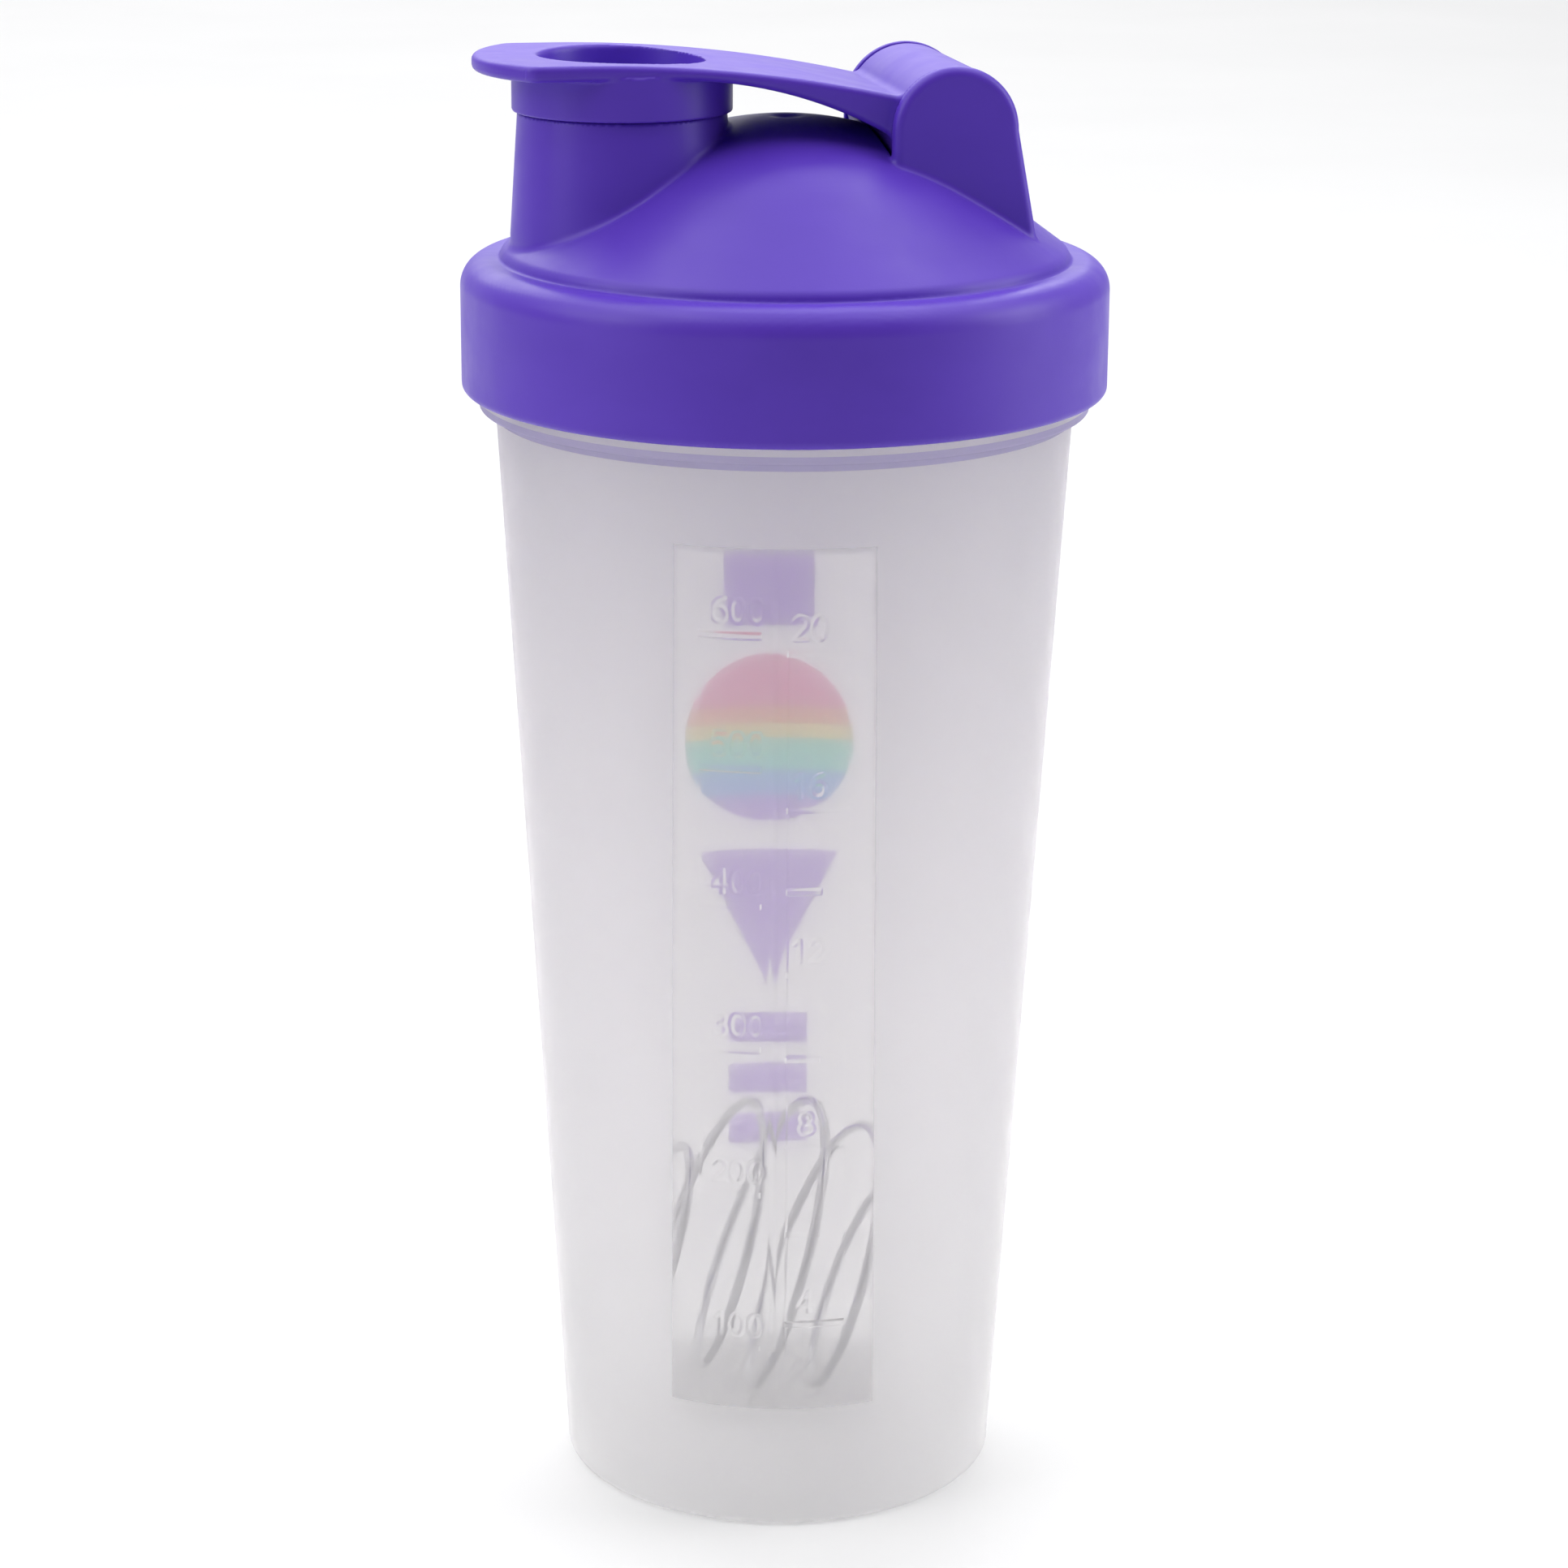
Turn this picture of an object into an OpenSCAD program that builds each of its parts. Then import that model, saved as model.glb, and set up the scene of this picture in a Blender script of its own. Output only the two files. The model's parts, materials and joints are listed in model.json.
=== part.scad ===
// Shaker bottle: a tapered cup, a screw lid with a spout, a flip cap that snaps over the spout,
// and a wire whisk ball loose in the cup. Millimetres, +Z up, origin under the cup's centre.
// The spout points to -X and the flip cap's hinge is on the +X side, with its axle along Y.

/* [Cup] */
// Outer radius of the cup at its foot
cup_foot_r = 34.15; // [33:0.05:36]
// Outer radius of the cup under its collar
cup_top_r = 43.9; // [42.6:0.1:44.2]
// Height of the tapered wall
cup_wall_h = 170; // [140:1:200]
// Thickness of the cup's wall
wall = 1.5; // [1.2:0.1:1.7]
// Height of the inner floor above the table
floor_z = 5.1; // [4.6:0.1:7]
// Depth of the hollow under the foot
foot_hollow = 3.4; // [2:0.1:3.4]
// Radius of the collar that the lid's skirt hides
collar_r = 46.4; // [45.8:0.1:47.4]
// Outer radius of the threaded neck
neck_r = 44.4; // [44.2:0.1:44.6]
// Height of the rim above the tapered wall
neck_h = 20; // [19:0.5:20]

/* [Thread] */
// Rise of the thread in one turn
thread_lead = 12; // [11:0.5:13]
// Number of thread starts
thread_starts = 2; // [1:1:2]
// How far a thread ridge stands out of its wall
thread_depth = 1.6; // [1.3:0.1:1.7]
// Width of a thread ridge where it leaves its wall
thread_width = 2.4; // [2:0.1:2.6]

/* [Scale] */
// Direction of the scale around the cup, in degrees from +X
strip_turn = -102.7; // [-110:0.1:-90]
// How far the rib and the marks stand out
mark_h = 0.25; // [0.15:0.05:0.4]

/* [Print] */
// Direction of the middle of the print, in degrees from +X
print_turn = 81.8; // [70:0.1:100]
// Thickness of the printed ink
ink_t = 0.12; // [0.08:0.02:0.2]

/* [Lid] */
// Outer radius of the skirt
lid_r = 49; // [48.8:0.1:51]
// Thickness of the lid's walls
lid_wall = 1.9; // [1.6:0.1:2]
// Height of the skirt from its lower edge to the flat deck
skirt_h = 19.9; // [19.5:0.1:21]
// Radius of the skirt's rounded shoulder
shoulder_r = 4.2; // [3:0.1:4.5]
// Height of the dome above the deck
dome_h = 21.1; // [20:0.1:22]
// Radius of the foot of the dome
dome_foot_r = 41.4; // [41:0.1:42]

/* [Spout] */
// Distance of the spout's axis from the cup's axis
spout_x = 24.8; // [24:0.1:25]
// Outer radius of the spout where it leaves the dome
spout_foot_r = 16.8; // [16.4:0.1:17]
// Outer radius of the spout under the flip cap's collar
spout_top_r = 15.6; // [15.4:0.1:15.8]
// Radius of the drinking hole
spout_bore_r = 13.6; // [13.2:0.1:13.6]

/* [Flip cap] */
// Half of the arm's width over the spout
arm_half_w = 16.2; // [15.5:0.1:16.4]
// Thickness of the arm over the spout
arm_t = 2.4; // [2:0.1:3]
// Radius of the hinge barrel and of the cheeks' rounded tops
hinge_r = 9.5; // [9:0.1:9.8]
// Distance of the hinge axis from the cup's axis
hinge_x = 22; // [21.5:0.1:22.5]
// Radius of the two trunnions
trunnion_r = 3.5; // [3:0.1:4.5]

/* [Whisk ball] */
// Outer radius of the ball
ball_r = 24.6; // [22:0.1:24.8]
// Diameter of the ball's wire
wire_d = 1.6; // [1.4:0.1:2]
// Distance from one turn of the wire to the next
wire_pitch = 9.7; // [8:0.1:12]

/* [Hidden] */
$fn = 96;
lap = 0.01;

// Heights that follow from the cup and the lid
collar_z = cup_wall_h + 3.9;
rim_z = cup_wall_h + neck_h;
skirt_z = collar_z + 0.2;
deck_z = skirt_z + skirt_h;
apex_z = deck_z + dome_h;
arm_top_z = deck_z + 30.7;
arm_low_z = arm_top_z - arm_t;
spout_top_z = arm_low_z - 1;
spout_step_z = arm_low_z - 6;
hinge_z = deck_z + 20.4;

// Cup
taper = (cup_top_r - cup_foot_r) / cup_wall_h;
foot_edge = 1.5;
floor_edge = 3;
rim_edge = 0.8;
neck_in_r = cup_top_r - wall;
collar_drop = collar_z - 1.3;

// Thread: a ridge's crest is half as wide as its root, and is buried a little in its wall
thread_bury = 0.5;
thread_step = 10;
skirt_in_r = lid_r - lid_wall;
cup_thread_z = collar_z + 3.2;
lid_thread_z = cup_thread_z + thread_lead / thread_starts / 2;
cup_thread_turn = 0.6;
lid_thread_turn = 0.5;

// Scale marks: heights of the long marks on each side of the rib, and their spacing
scale_low_z = 18;
rib_half_w = 0.7;
mark_w = 1.1;
mark_gap = 1.8;
mark_len = 9.5;
half_mark_len = 5.5;
ml_z = [30.3, 56.1, 80.1, 103, 124.5, 144.9];
oz_z = [34.4, 64.2, 92.2, 118.2, 142.3];
oz_half_z = [49.6, 78.5, 105.4];

// Print: half widths and heights of the block, the striped disc, the wedge and the bars
block_half_w = 7.6;
block_z = [126.2, 138.7];
disc_r = 14.2;
disc_z = 107.2;
stripe_z = [112.5, 109.7, 107.2, 101.8, 97.5];
wedge_half_w = 11.8;
wedge_z = [64.7, 88.2];
bar_half_w = 6.7;
bar_h = 5.2;
bar_z = [37, 45.8, 54.6];

// Lid
deck_r = lid_r - shoulder_r;
seal_gap = 1.8;
deck_low_z = rim_z + seal_gap;
dome_top_r = 48;
dome_slope = 36.2;
flank_r = dome_top_r * sin(dome_slope);
flank_z = apex_z - dome_top_r * (1 - cos(dome_slope));
dome_edge = 1.6;
dome_edge_z = flank_z - (dome_foot_r - dome_edge - flank_r) * tan(dome_slope) - dome_edge / cos(dome_slope);
inner_skirt_r = 41.2;
inner_skirt_t = 1.8;
inner_skirt_h = 4.2;
void_z = flank_z - (inner_skirt_r - inner_skirt_t - flank_r) * tan(dome_slope) - lid_wall / cos(dome_slope);
skirt_edge = 1.1;
seal_in_r = inner_skirt_r + 0.15;
seal_out_r = neck_r + 0.6;
spout_neck_r = 14.9;
dimple_r = 6;
dimple_depth = 0.5;
cheek_in = 16.15;
cheek_t = 2.15;
barrel_half_w = 15.9;
running_gap = 0.05;
trough_gap = 0.35;
trunnion_len = 1.25;
socket_len = 1.35;
trough_r = hinge_r + trough_gap;

// Flip cap
tab_x = -47;
tab_r = 22.8;
tab_corner_r = 3;
recess_edge = 1;
cap_collar_edge = 0.5;
cap_collar_r = 16.4;
cap_collar_in_r = 15.35;
cap_collar_z = spout_step_z + 0.45;
plug_r = 13.4;
plug_tip_r = 12.7;
plug_z = spout_top_z - 4.6;
plug_wall = 1.1;
barrel_r = hinge_r - 0.2;
top_bend_x = -33;
top_bend_r = 213;
low_bend_x = -20;
low_bend_r = 66;

// Whisk ball: centre, direction of the spiral's axis, and the wire's shape
ball_x = 2.2;
ball_y = 8.8;
ball_z = floor_z + ball_r + 0.1;
ball_turn = -6.7;
ball_tilt = 20;
ball_phase = 427;
ball_steps = 22;
wire_sides = 8;
wire_r = ball_r - wire_d / 2;
wire_reach = 0.985;

// Points on an arc about c, from angle a to angle b
function arc(c, r, a, b, n = 8) = [for (i = [0:n]) let (t = a + (b - a) * i / n) c + r * [cos(t), sin(t)]];
// Radius of the cup's tapered outer wall at height z
function cup_r(z) = cup_foot_r + taper * z;

// One ridge of a helical thread, from root radius r0 to crest radius r1, fading at both ends
module thread_ridge(r0, r1, z, turn, turns) {
  steps = round(turns * 360 / thread_step);
  fade = 3;
  root = r1 > r0 ? r0 - thread_bury : r0 + thread_bury;
  ring = [for (i = [0:steps]) let (
      a = turn + i * thread_step,
      s = min(1, (min(i, steps - i) + 0.3) / fade),
      crest = r0 + (r1 - r0) * s,
      h = z + thread_lead * i * thread_step / 360)
    each [[root * cos(a), root * sin(a), h - thread_width / 2],
          [crest * cos(a), crest * sin(a), h - thread_width / 4],
          [crest * cos(a), crest * sin(a), h + thread_width / 4],
          [root * cos(a), root * sin(a), h + thread_width / 2]]];
  side = [for (i = [0:steps - 1], k = [0:3]) let (
      p = 4 * i + k, q = 4 * i + (k + 1) % 4)
    each [[p, q, q + 4], [p, q + 4, p + 4]]];
  faces = concat(side, [[3, 2, 1, 0], [for (k = [0:3]) 4 * steps + k]]);
  // A crest inside its root mirrors the ring, so each face is then listed the other way round
  polyhedron(ring, r1 > r0 ? faces : [for (f = faces) [for (i = [len(f) - 1:-1:0]) f[i]]], convexity = 4);
}

module threads(r0, r1, z, turns) {
  for (k = [0:thread_starts - 1]) thread_ridge(r0, r1, z, k * 360 / thread_starts, turns);
}

// The cup's wall section: outer side from the foot up, then the inner side down to the floor
module cup_section() {
  foot_in_r = cup_foot_r - 2.6;
  in_r = cup_r(floor_z) - wall;
  polygon(concat(
    [[0, foot_hollow - lap * 10], [foot_in_r - 1.2, foot_hollow - lap * 10], [foot_in_r, 0.8], [foot_in_r + 0.6, 0]],
    arc([cup_r(foot_edge) - foot_edge, foot_edge], foot_edge, -90, 0, 6),
    [[cup_top_r, cup_wall_h], [collar_r - 0.9, cup_wall_h + 1.3], [collar_r, collar_drop], [collar_r, collar_z],
     [neck_r, collar_z]],
    arc([neck_r - rim_edge, rim_z - rim_edge], rim_edge, 0, 90, 4),
    arc([neck_in_r + rim_edge, rim_z - rim_edge], rim_edge, 90, 180, 4),
    [[neck_in_r, cup_wall_h]],
    arc([in_r - floor_edge, floor_z + floor_edge], floor_edge, 0, -90, 6),
    [[0, floor_z]]));
}

// A thin skin on the tapered wall from height z0 to z1, t thick and sunk by bury
module wall_skin(z0, z1, t, bury) {
  rotate_extrude($fn = 180)
    polygon([[cup_r(z0) - bury, z0], [cup_r(z0) + t, z0], [cup_r(z1) + t, z1], [cup_r(z1) - bury, z1]]);
}

module scale_marks() {
  intersection() {
    wall_skin(scale_low_z, cup_wall_h - 4, mark_h, 0.4);
    rotate([0, 0, strip_turn]) union() {
      translate([20, -rib_half_w, scale_low_z]) cube([40, 2 * rib_half_w, cup_wall_h - scale_low_z]);
      for (z = ml_z) translate([20, -mark_gap - mark_len, z]) cube([40, mark_len, mark_w]);
      for (z = oz_z) translate([20, mark_gap, z]) cube([40, mark_len, mark_w]);
      for (z = oz_half_z) translate([20, mark_gap, z]) cube([40, half_mark_len, mark_w]);
    }
  }
}

module cup() {
  color([0.83, 0.82, 0.84]) union() {
    rotate_extrude($fn = 180) cup_section();
    threads(neck_r, neck_r + thread_depth, cup_thread_z, cup_thread_turn);
    scale_marks();
  }
}

// A flat shape laid on the cup's far wall as ink: x to the right as seen through the strip, y up
module ink_print(z0, z1) {
  intersection() {
    wall_skin(z0, z1, ink_t, 0);
    rotate([0, 0, print_turn - 90]) rotate([90, 0, 0]) translate([0, 0, -70]) linear_extrude(60) children();
  }
}

// One stripe of the printed disc, between two heights
module disc_stripe(z0, z1) {
  ink_print(z0, z1) translate([0, disc_z]) circle(disc_r);
}

module ink_lavender() {
  color([0.62, 0.45, 0.78]) {
    ink_print(block_z[0], block_z[1])
      translate([-block_half_w, block_z[0]]) square([2 * block_half_w, block_z[1] - block_z[0]]);
    disc_stripe(disc_z - disc_r, stripe_z[4]);
    ink_print(wedge_z[0], wedge_z[1])
      polygon([[-wedge_half_w, wedge_z[1]], [0, wedge_z[0]], [wedge_half_w, wedge_z[1]]]);
    for (z = bar_z) ink_print(z, z + bar_h) translate([-bar_half_w, z]) square([2 * bar_half_w, bar_h]);
  }
}

module ink_pink() { color([0.93, 0.45, 0.62]) disc_stripe(stripe_z[0], disc_z + disc_r); }
module ink_orange() { color([0.95, 0.62, 0.5]) disc_stripe(stripe_z[1], stripe_z[0]); }
module ink_yellow() { color([0.94, 0.8, 0.5]) disc_stripe(stripe_z[2], stripe_z[1]); }
module ink_teal() { color([0.4, 0.75, 0.66]) disc_stripe(stripe_z[3], stripe_z[2]); }
module ink_blue() { color([0.4, 0.6, 0.85]) disc_stripe(stripe_z[4], stripe_z[3]); }

// Flat silicone ring on the rim, held round the lid's inner skirt
module seal_ring() {
  color([0.93, 0.93, 0.94]) translate([0, 0, rim_z]) rotate_extrude($fn = 180)
    translate([seal_in_r, 0]) square([seal_out_r - seal_in_r, seal_gap]);
}

// The lid's wall section without the spout: outside from the skirt to the apex, then the inside
module lid_section() {
  polygon(concat(
    [[skirt_in_r, skirt_z]],
    arc([lid_r - skirt_edge, skirt_z + skirt_edge], skirt_edge, -90, 0, 4),
    arc([deck_r, deck_z - shoulder_r], shoulder_r, 0, 90, 12),
    [[dome_foot_r, deck_z]],
    arc([dome_foot_r - dome_edge, dome_edge_z], dome_edge, 0, 90 - dome_slope, 5),
    arc([0, apex_z - dome_top_r], dome_top_r, 90 - dome_slope, 90, 16),
    arc([0, apex_z - dome_top_r], dome_top_r - lid_wall, 90, 90 - dome_slope, 16),
    [[inner_skirt_r - inner_skirt_t, void_z], [inner_skirt_r - inner_skirt_t, deck_low_z - inner_skirt_h],
     [inner_skirt_r - 0.5, deck_low_z - inner_skirt_h], [inner_skirt_r, deck_low_z - inner_skirt_h + 1],
     [inner_skirt_r, deck_low_z], [skirt_in_r - 1, deck_low_z], [skirt_in_r, deck_low_z - 1]]));
}

// Everything under the dome's outer surface
module dome_solid() {
  rotate_extrude($fn = 180) polygon(concat(
    [[0, deck_z], [dome_foot_r - 1, deck_z]],
    arc([0, apex_z - dome_top_r], dome_top_r, 90 - dome_slope, 90, 16)));
}

// The hollow under the dome
module dome_void() {
  rotate_extrude($fn = 180) polygon(concat(
    [[0, rim_z - 10], [inner_skirt_r - inner_skirt_t, rim_z - 10], [inner_skirt_r - inner_skirt_t, void_z]],
    arc([0, apex_z - dome_top_r], dome_top_r - lid_wall, 90 - dome_slope, 90, 16)));
}

// A round bar along the hinge axis, from -half to half
module hinge_bar(r, half) {
  translate([hinge_x, half, hinge_z]) rotate([90, 0, 0]) cylinder(r = r, h = 2 * half);
}

// Both hinge cheeks: round over the hinge axis, with a back edge that leans out to the dome's foot
module cheeks() {
  for (y = [-cheek_in, cheek_in + cheek_t]) translate([0, y, 0]) rotate([90, 0, 0])
    linear_extrude(cheek_t) polygon(concat(
      arc([hinge_x, hinge_z], hinge_r, 0, 180, 32),
      [[hinge_x - hinge_r, hinge_z - 12], [hinge_x + hinge_r, deck_z + 0.5], [hinge_x + 13, deck_z + 2],
       [hinge_x + 12.45, deck_z + 4.8]]));
}

module spout_outside() {
  translate([-spout_x, 0, 0]) rotate_extrude() polygon([
    [0, deck_z + 0.5], [spout_foot_r, deck_z + 0.5], [spout_foot_r, deck_z + 4],
    [spout_top_r, spout_step_z - 0.3], [spout_top_r - 0.3, spout_step_z], [spout_neck_r, spout_step_z],
    [spout_neck_r - 0.25, spout_top_z - 0.4], [spout_neck_r - 0.55, spout_top_z], [0, spout_top_z]]);
}

module lid() {
  color([0.36, 0.24, 0.7]) difference() {
    union() {
      rotate_extrude($fn = 180) lid_section();
      threads(skirt_in_r, skirt_in_r - thread_depth - 0.2, lid_thread_z, lid_thread_turn);
      difference() {
        union() { spout_outside(); cheeks(); }
        dome_void();
      }
      intersection() {
        hinge_bar(trough_r + lid_wall, cheek_in + cheek_t);
        dome_solid();
      }
    }
    translate([-spout_x, 0, rim_z - 1]) cylinder(r = spout_bore_r, h = spout_top_z - rim_z + 2);
    hinge_bar(trough_r, cheek_in);
    hinge_bar(trunnion_r + running_gap, cheek_in + socket_len);
    translate([0, 0, apex_z + dimple_r - dimple_depth]) sphere(dimple_r);
  }
}

// Outline of the arm from above: straight sides, rounded corners and a shallow arc at the thumb tab
module arm_outline() {
  c = tab_x + tab_r;
  corner_x = c - sqrt(pow(tab_r - tab_corner_r, 2) - pow(arm_half_w - tab_corner_r, 2));
  corner_y = arm_half_w - tab_corner_r;
  a = atan2(corner_y, corner_x - c);
  polygon(concat(
    [[hinge_x, barrel_half_w], [hinge_x - hinge_r - 2, barrel_half_w]],
    arc([corner_x, corner_y], tab_corner_r, 90, a, 6),
    arc([c, 0], tab_r, a, 360 - a, 24),
    arc([corner_x, -corner_y], tab_corner_r, 360 - a, 270, 6),
    [[hinge_x - hinge_r - 2, -barrel_half_w], [hinge_x, -barrel_half_w]]));
}

// Side view of the arm: level over the spout, then bending down to the hinge and getting thicker
module arm_side() {
  polygon(concat(
    [[tab_x - 1, arm_low_z], [tab_x - 1, arm_top_z]],
    arc([top_bend_x, arm_top_z - top_bend_r], top_bend_r, 90, acos((hinge_x - top_bend_x) / top_bend_r), 16),
    arc([low_bend_x, arm_low_z - low_bend_r], low_bend_r, acos((hinge_x - low_bend_x) / low_bend_r), 90, 16)));
}

module flip_cap() {
  color([0.38, 0.26, 0.74]) difference() {
    union() {
      intersection() {
        translate([0, 0, hinge_z - 12]) linear_extrude(30) arm_outline();
        translate([0, 20, 0]) rotate([90, 0, 0]) linear_extrude(40) arm_side();
      }
      translate([-spout_x, 0, 0]) rotate_extrude() polygon(concat(
        [[cap_collar_in_r, cap_collar_z]],
        arc([cap_collar_r - cap_collar_edge, cap_collar_z + cap_collar_edge], cap_collar_edge, -90, 0, 4),
        [[cap_collar_r, arm_low_z + 0.5], [cap_collar_in_r, arm_low_z + 0.5]]));
      translate([-spout_x, 0, 0]) rotate_extrude() polygon([
        [0, plug_z], [plug_tip_r - 0.4, plug_z], [plug_tip_r, plug_z + 0.4], [plug_r, arm_low_z + 0.5],
        [0, arm_low_z + 0.5]]);
      hinge_bar(barrel_r, barrel_half_w);
      hinge_bar(trunnion_r, barrel_half_w + trunnion_len + cheek_in - barrel_half_w);
    }
    translate([-spout_x, 0, 0]) rotate_extrude() polygon(concat(
      [[0, plug_z + plug_wall], [plug_tip_r - plug_wall, plug_z + plug_wall]],
      arc([plug_r - plug_wall + recess_edge, arm_top_z - recess_edge], recess_edge, 180, 90, 6),
      [[plug_r - plug_wall + recess_edge, arm_top_z + 1], [0, arm_top_z + 1]]));
  }
}

// A point on the wire's path: h is the distance along the spiral's axis
function wire_at(h) = let (rho = sqrt(pow(wire_r, 2) - h * h), a = ball_phase + 360 * h / wire_pitch)
  [h, -rho * sin(a), rho * cos(a)];
function unit(v) = v / norm(v);

module whisk_ball() {
  reach = wire_r * wire_reach;
  steps = round(2 * reach / wire_pitch * ball_steps);
  rings = [for (i = [0:steps]) let (
      h = -reach + 2 * reach * i / steps,
      p = wire_at(h),
      out = unit(p),
      along = unit(wire_at(h + lap) - wire_at(h - lap)),
      across = cross(along, out))
    each [for (k = [0:wire_sides - 1]) let (a = 360 * k / wire_sides)
      p + wire_d / 2 * (out * cos(a) + across * sin(a))]];
  side = [for (i = [0:steps - 1], k = [0:wire_sides - 1]) let (
      p = wire_sides * i + k, q = wire_sides * i + (k + 1) % wire_sides)
    each [[p, q, q + wire_sides], [p, q + wire_sides, p + wire_sides]]];
  ends = [[for (k = [wire_sides - 1:-1:0]) k], [for (k = [0:wire_sides - 1]) wire_sides * steps + k]];
  color([0.7, 0.71, 0.74]) translate([ball_x, ball_y, ball_z]) rotate([0, 0, ball_turn])
    rotate([0, ball_tilt, 0]) polyhedron(rings, concat(side, ends), convexity = 12);
}

cup();
ink_lavender();
ink_pink();
ink_orange();
ink_yellow();
ink_teal();
ink_blue();
seal_ring();
lid();
flip_cap();
whisk_ball();
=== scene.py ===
"""Looks of the shaker bottle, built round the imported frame. Lengths are millimetres until a mesh is made."""
import json
import math

import bpy
import numpy as np
from mathutils import Matrix, Vector


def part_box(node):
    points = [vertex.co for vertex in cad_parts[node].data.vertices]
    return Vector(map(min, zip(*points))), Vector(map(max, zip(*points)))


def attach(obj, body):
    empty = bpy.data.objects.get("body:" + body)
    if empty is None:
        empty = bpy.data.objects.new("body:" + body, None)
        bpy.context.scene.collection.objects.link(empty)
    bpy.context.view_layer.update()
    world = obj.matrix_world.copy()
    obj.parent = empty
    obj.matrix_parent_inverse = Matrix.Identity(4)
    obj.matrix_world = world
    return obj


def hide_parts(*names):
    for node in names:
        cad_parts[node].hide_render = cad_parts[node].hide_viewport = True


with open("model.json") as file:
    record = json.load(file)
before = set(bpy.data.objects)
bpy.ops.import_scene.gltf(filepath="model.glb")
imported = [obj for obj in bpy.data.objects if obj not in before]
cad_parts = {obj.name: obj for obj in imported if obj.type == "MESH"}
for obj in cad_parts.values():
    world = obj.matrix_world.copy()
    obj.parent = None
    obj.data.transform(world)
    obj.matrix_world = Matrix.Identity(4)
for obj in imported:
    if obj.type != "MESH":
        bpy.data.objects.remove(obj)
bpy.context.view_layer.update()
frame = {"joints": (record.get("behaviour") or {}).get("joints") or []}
MM = 0.001


def box_mm(node):
    """Lowest and highest corner of a CAD node, in millimetres."""
    low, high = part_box(node)
    return np.array(low) / MM, np.array(high) / MM


# ------------ places taken from the frame
CAP_LOW, CAP_HIGH = box_mm("flip_cap")
JOINT = {joint["name"]: joint for joint in frame["joints"]}
HINGE_X, _, HINGE_Z = (c / MM for c in JOINT["cap_flip"]["pos_m"])

RIM_Z = box_mm("cup")[1][2]
SKIRT_Z = box_mm("lid")[0][2]
ARM_TOP_Z = CAP_HIGH[2]
TAB_X = CAP_LOW[0]
THREAD_LEAD = JOINT["lid_lift"]["range_m"][1] / MM / 2

# ------------ driving dimensions of the cup
FOOT_R = 34.15
WALL_TOP_R = 43.9
NECK_H = 20.0
WALL_TOP_Z = RIM_Z - NECK_H
WALL = 1.5
FLOOR_Z = 5.1
FOOT_HOLLOW = 3.4
COLLAR_R = 46.4
COLLAR_Z = WALL_TOP_Z + 3.9
# COLLAR_BAND_Z also bounds the painted reflection of the lid on the collar's lower band
COLLAR_BAND_Z = WALL_TOP_Z + 2.7
NECK_R = 44.4
THREAD_START_Z = COLLAR_Z + 3.2
THREAD_DEPTH = 1.6
INK_GAP = 0.03

# The polished strip: its direction, half width at its top and foot, and its height range
STRIP_TURN = math.radians(-103.1)
STRIP_TOP_HALF = 15.0
STRIP_FOOT_HALF = 16.1
STRIP_LOW_Z = 20.5
STRIP_HIGH_Z = 158.6
PRINT_TURN = math.radians(81.8)

# ------------ driving dimensions of the lid
LID_R = 49.0
LID_WALL = 1.9
DECK_Z = SKIRT_Z + 19.9
APEX_Z = DECK_Z + 21.1
SHOULDER_R = 4.2
DOME_FOOT_R = 41.4
DOME_TOP_R = 48.0
DOME_SLOPE = math.radians(36.2)
SPOUT_X = -24.8
SPOUT_FOOT_R = 16.8
SPOUT_TOP_R = 15.6
SPOUT_NECK_R = 14.9
SPOUT_BORE_R = 13.6
HINGE_R = 9.5
CHEEK_IN = 16.15
CHEEK_T = 2.15
TROUGH_R = HINGE_R + 0.35
TRUNNION_R = 3.5
SEAL_IN_R = 41.35
SEAL_GAP = 1.8
RING_IN_R = 39.4

# ------------ driving dimensions of the flip cap
ARM_HALF_W = 16.2
ARM_T = 2.4
ARM_LOW_Z = ARM_TOP_Z - ARM_T
BARREL_HALF_W = 15.9
CAP_COLLAR_R = 16.4
CAP_COLLAR_IN_R = 15.35
PLUG_R = 13.4
PLUG_TIP_R = 12.7
PLUG_WALL = 1.1
SPOUT_TOP_Z = ARM_LOW_Z - 1.0
SPOUT_STEP_Z = ARM_LOW_Z - 6.0
CAP_COLLAR_Z = SPOUT_STEP_Z + 0.08
PLUG_Z = SPOUT_TOP_Z - 4.6

# ------------ whisk ball
BALL_R = 24.6
WIRE_D = 1.6
WIRE_PITCH = 9.7
BALL_CENTRE = np.array([2.2, 8.8, FLOOR_Z + BALL_R + 0.1])
BALL_TURN = math.radians(-6.7)
BALL_TILT = math.radians(20.0)
BALL_PHASE = math.radians(427.0)


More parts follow.
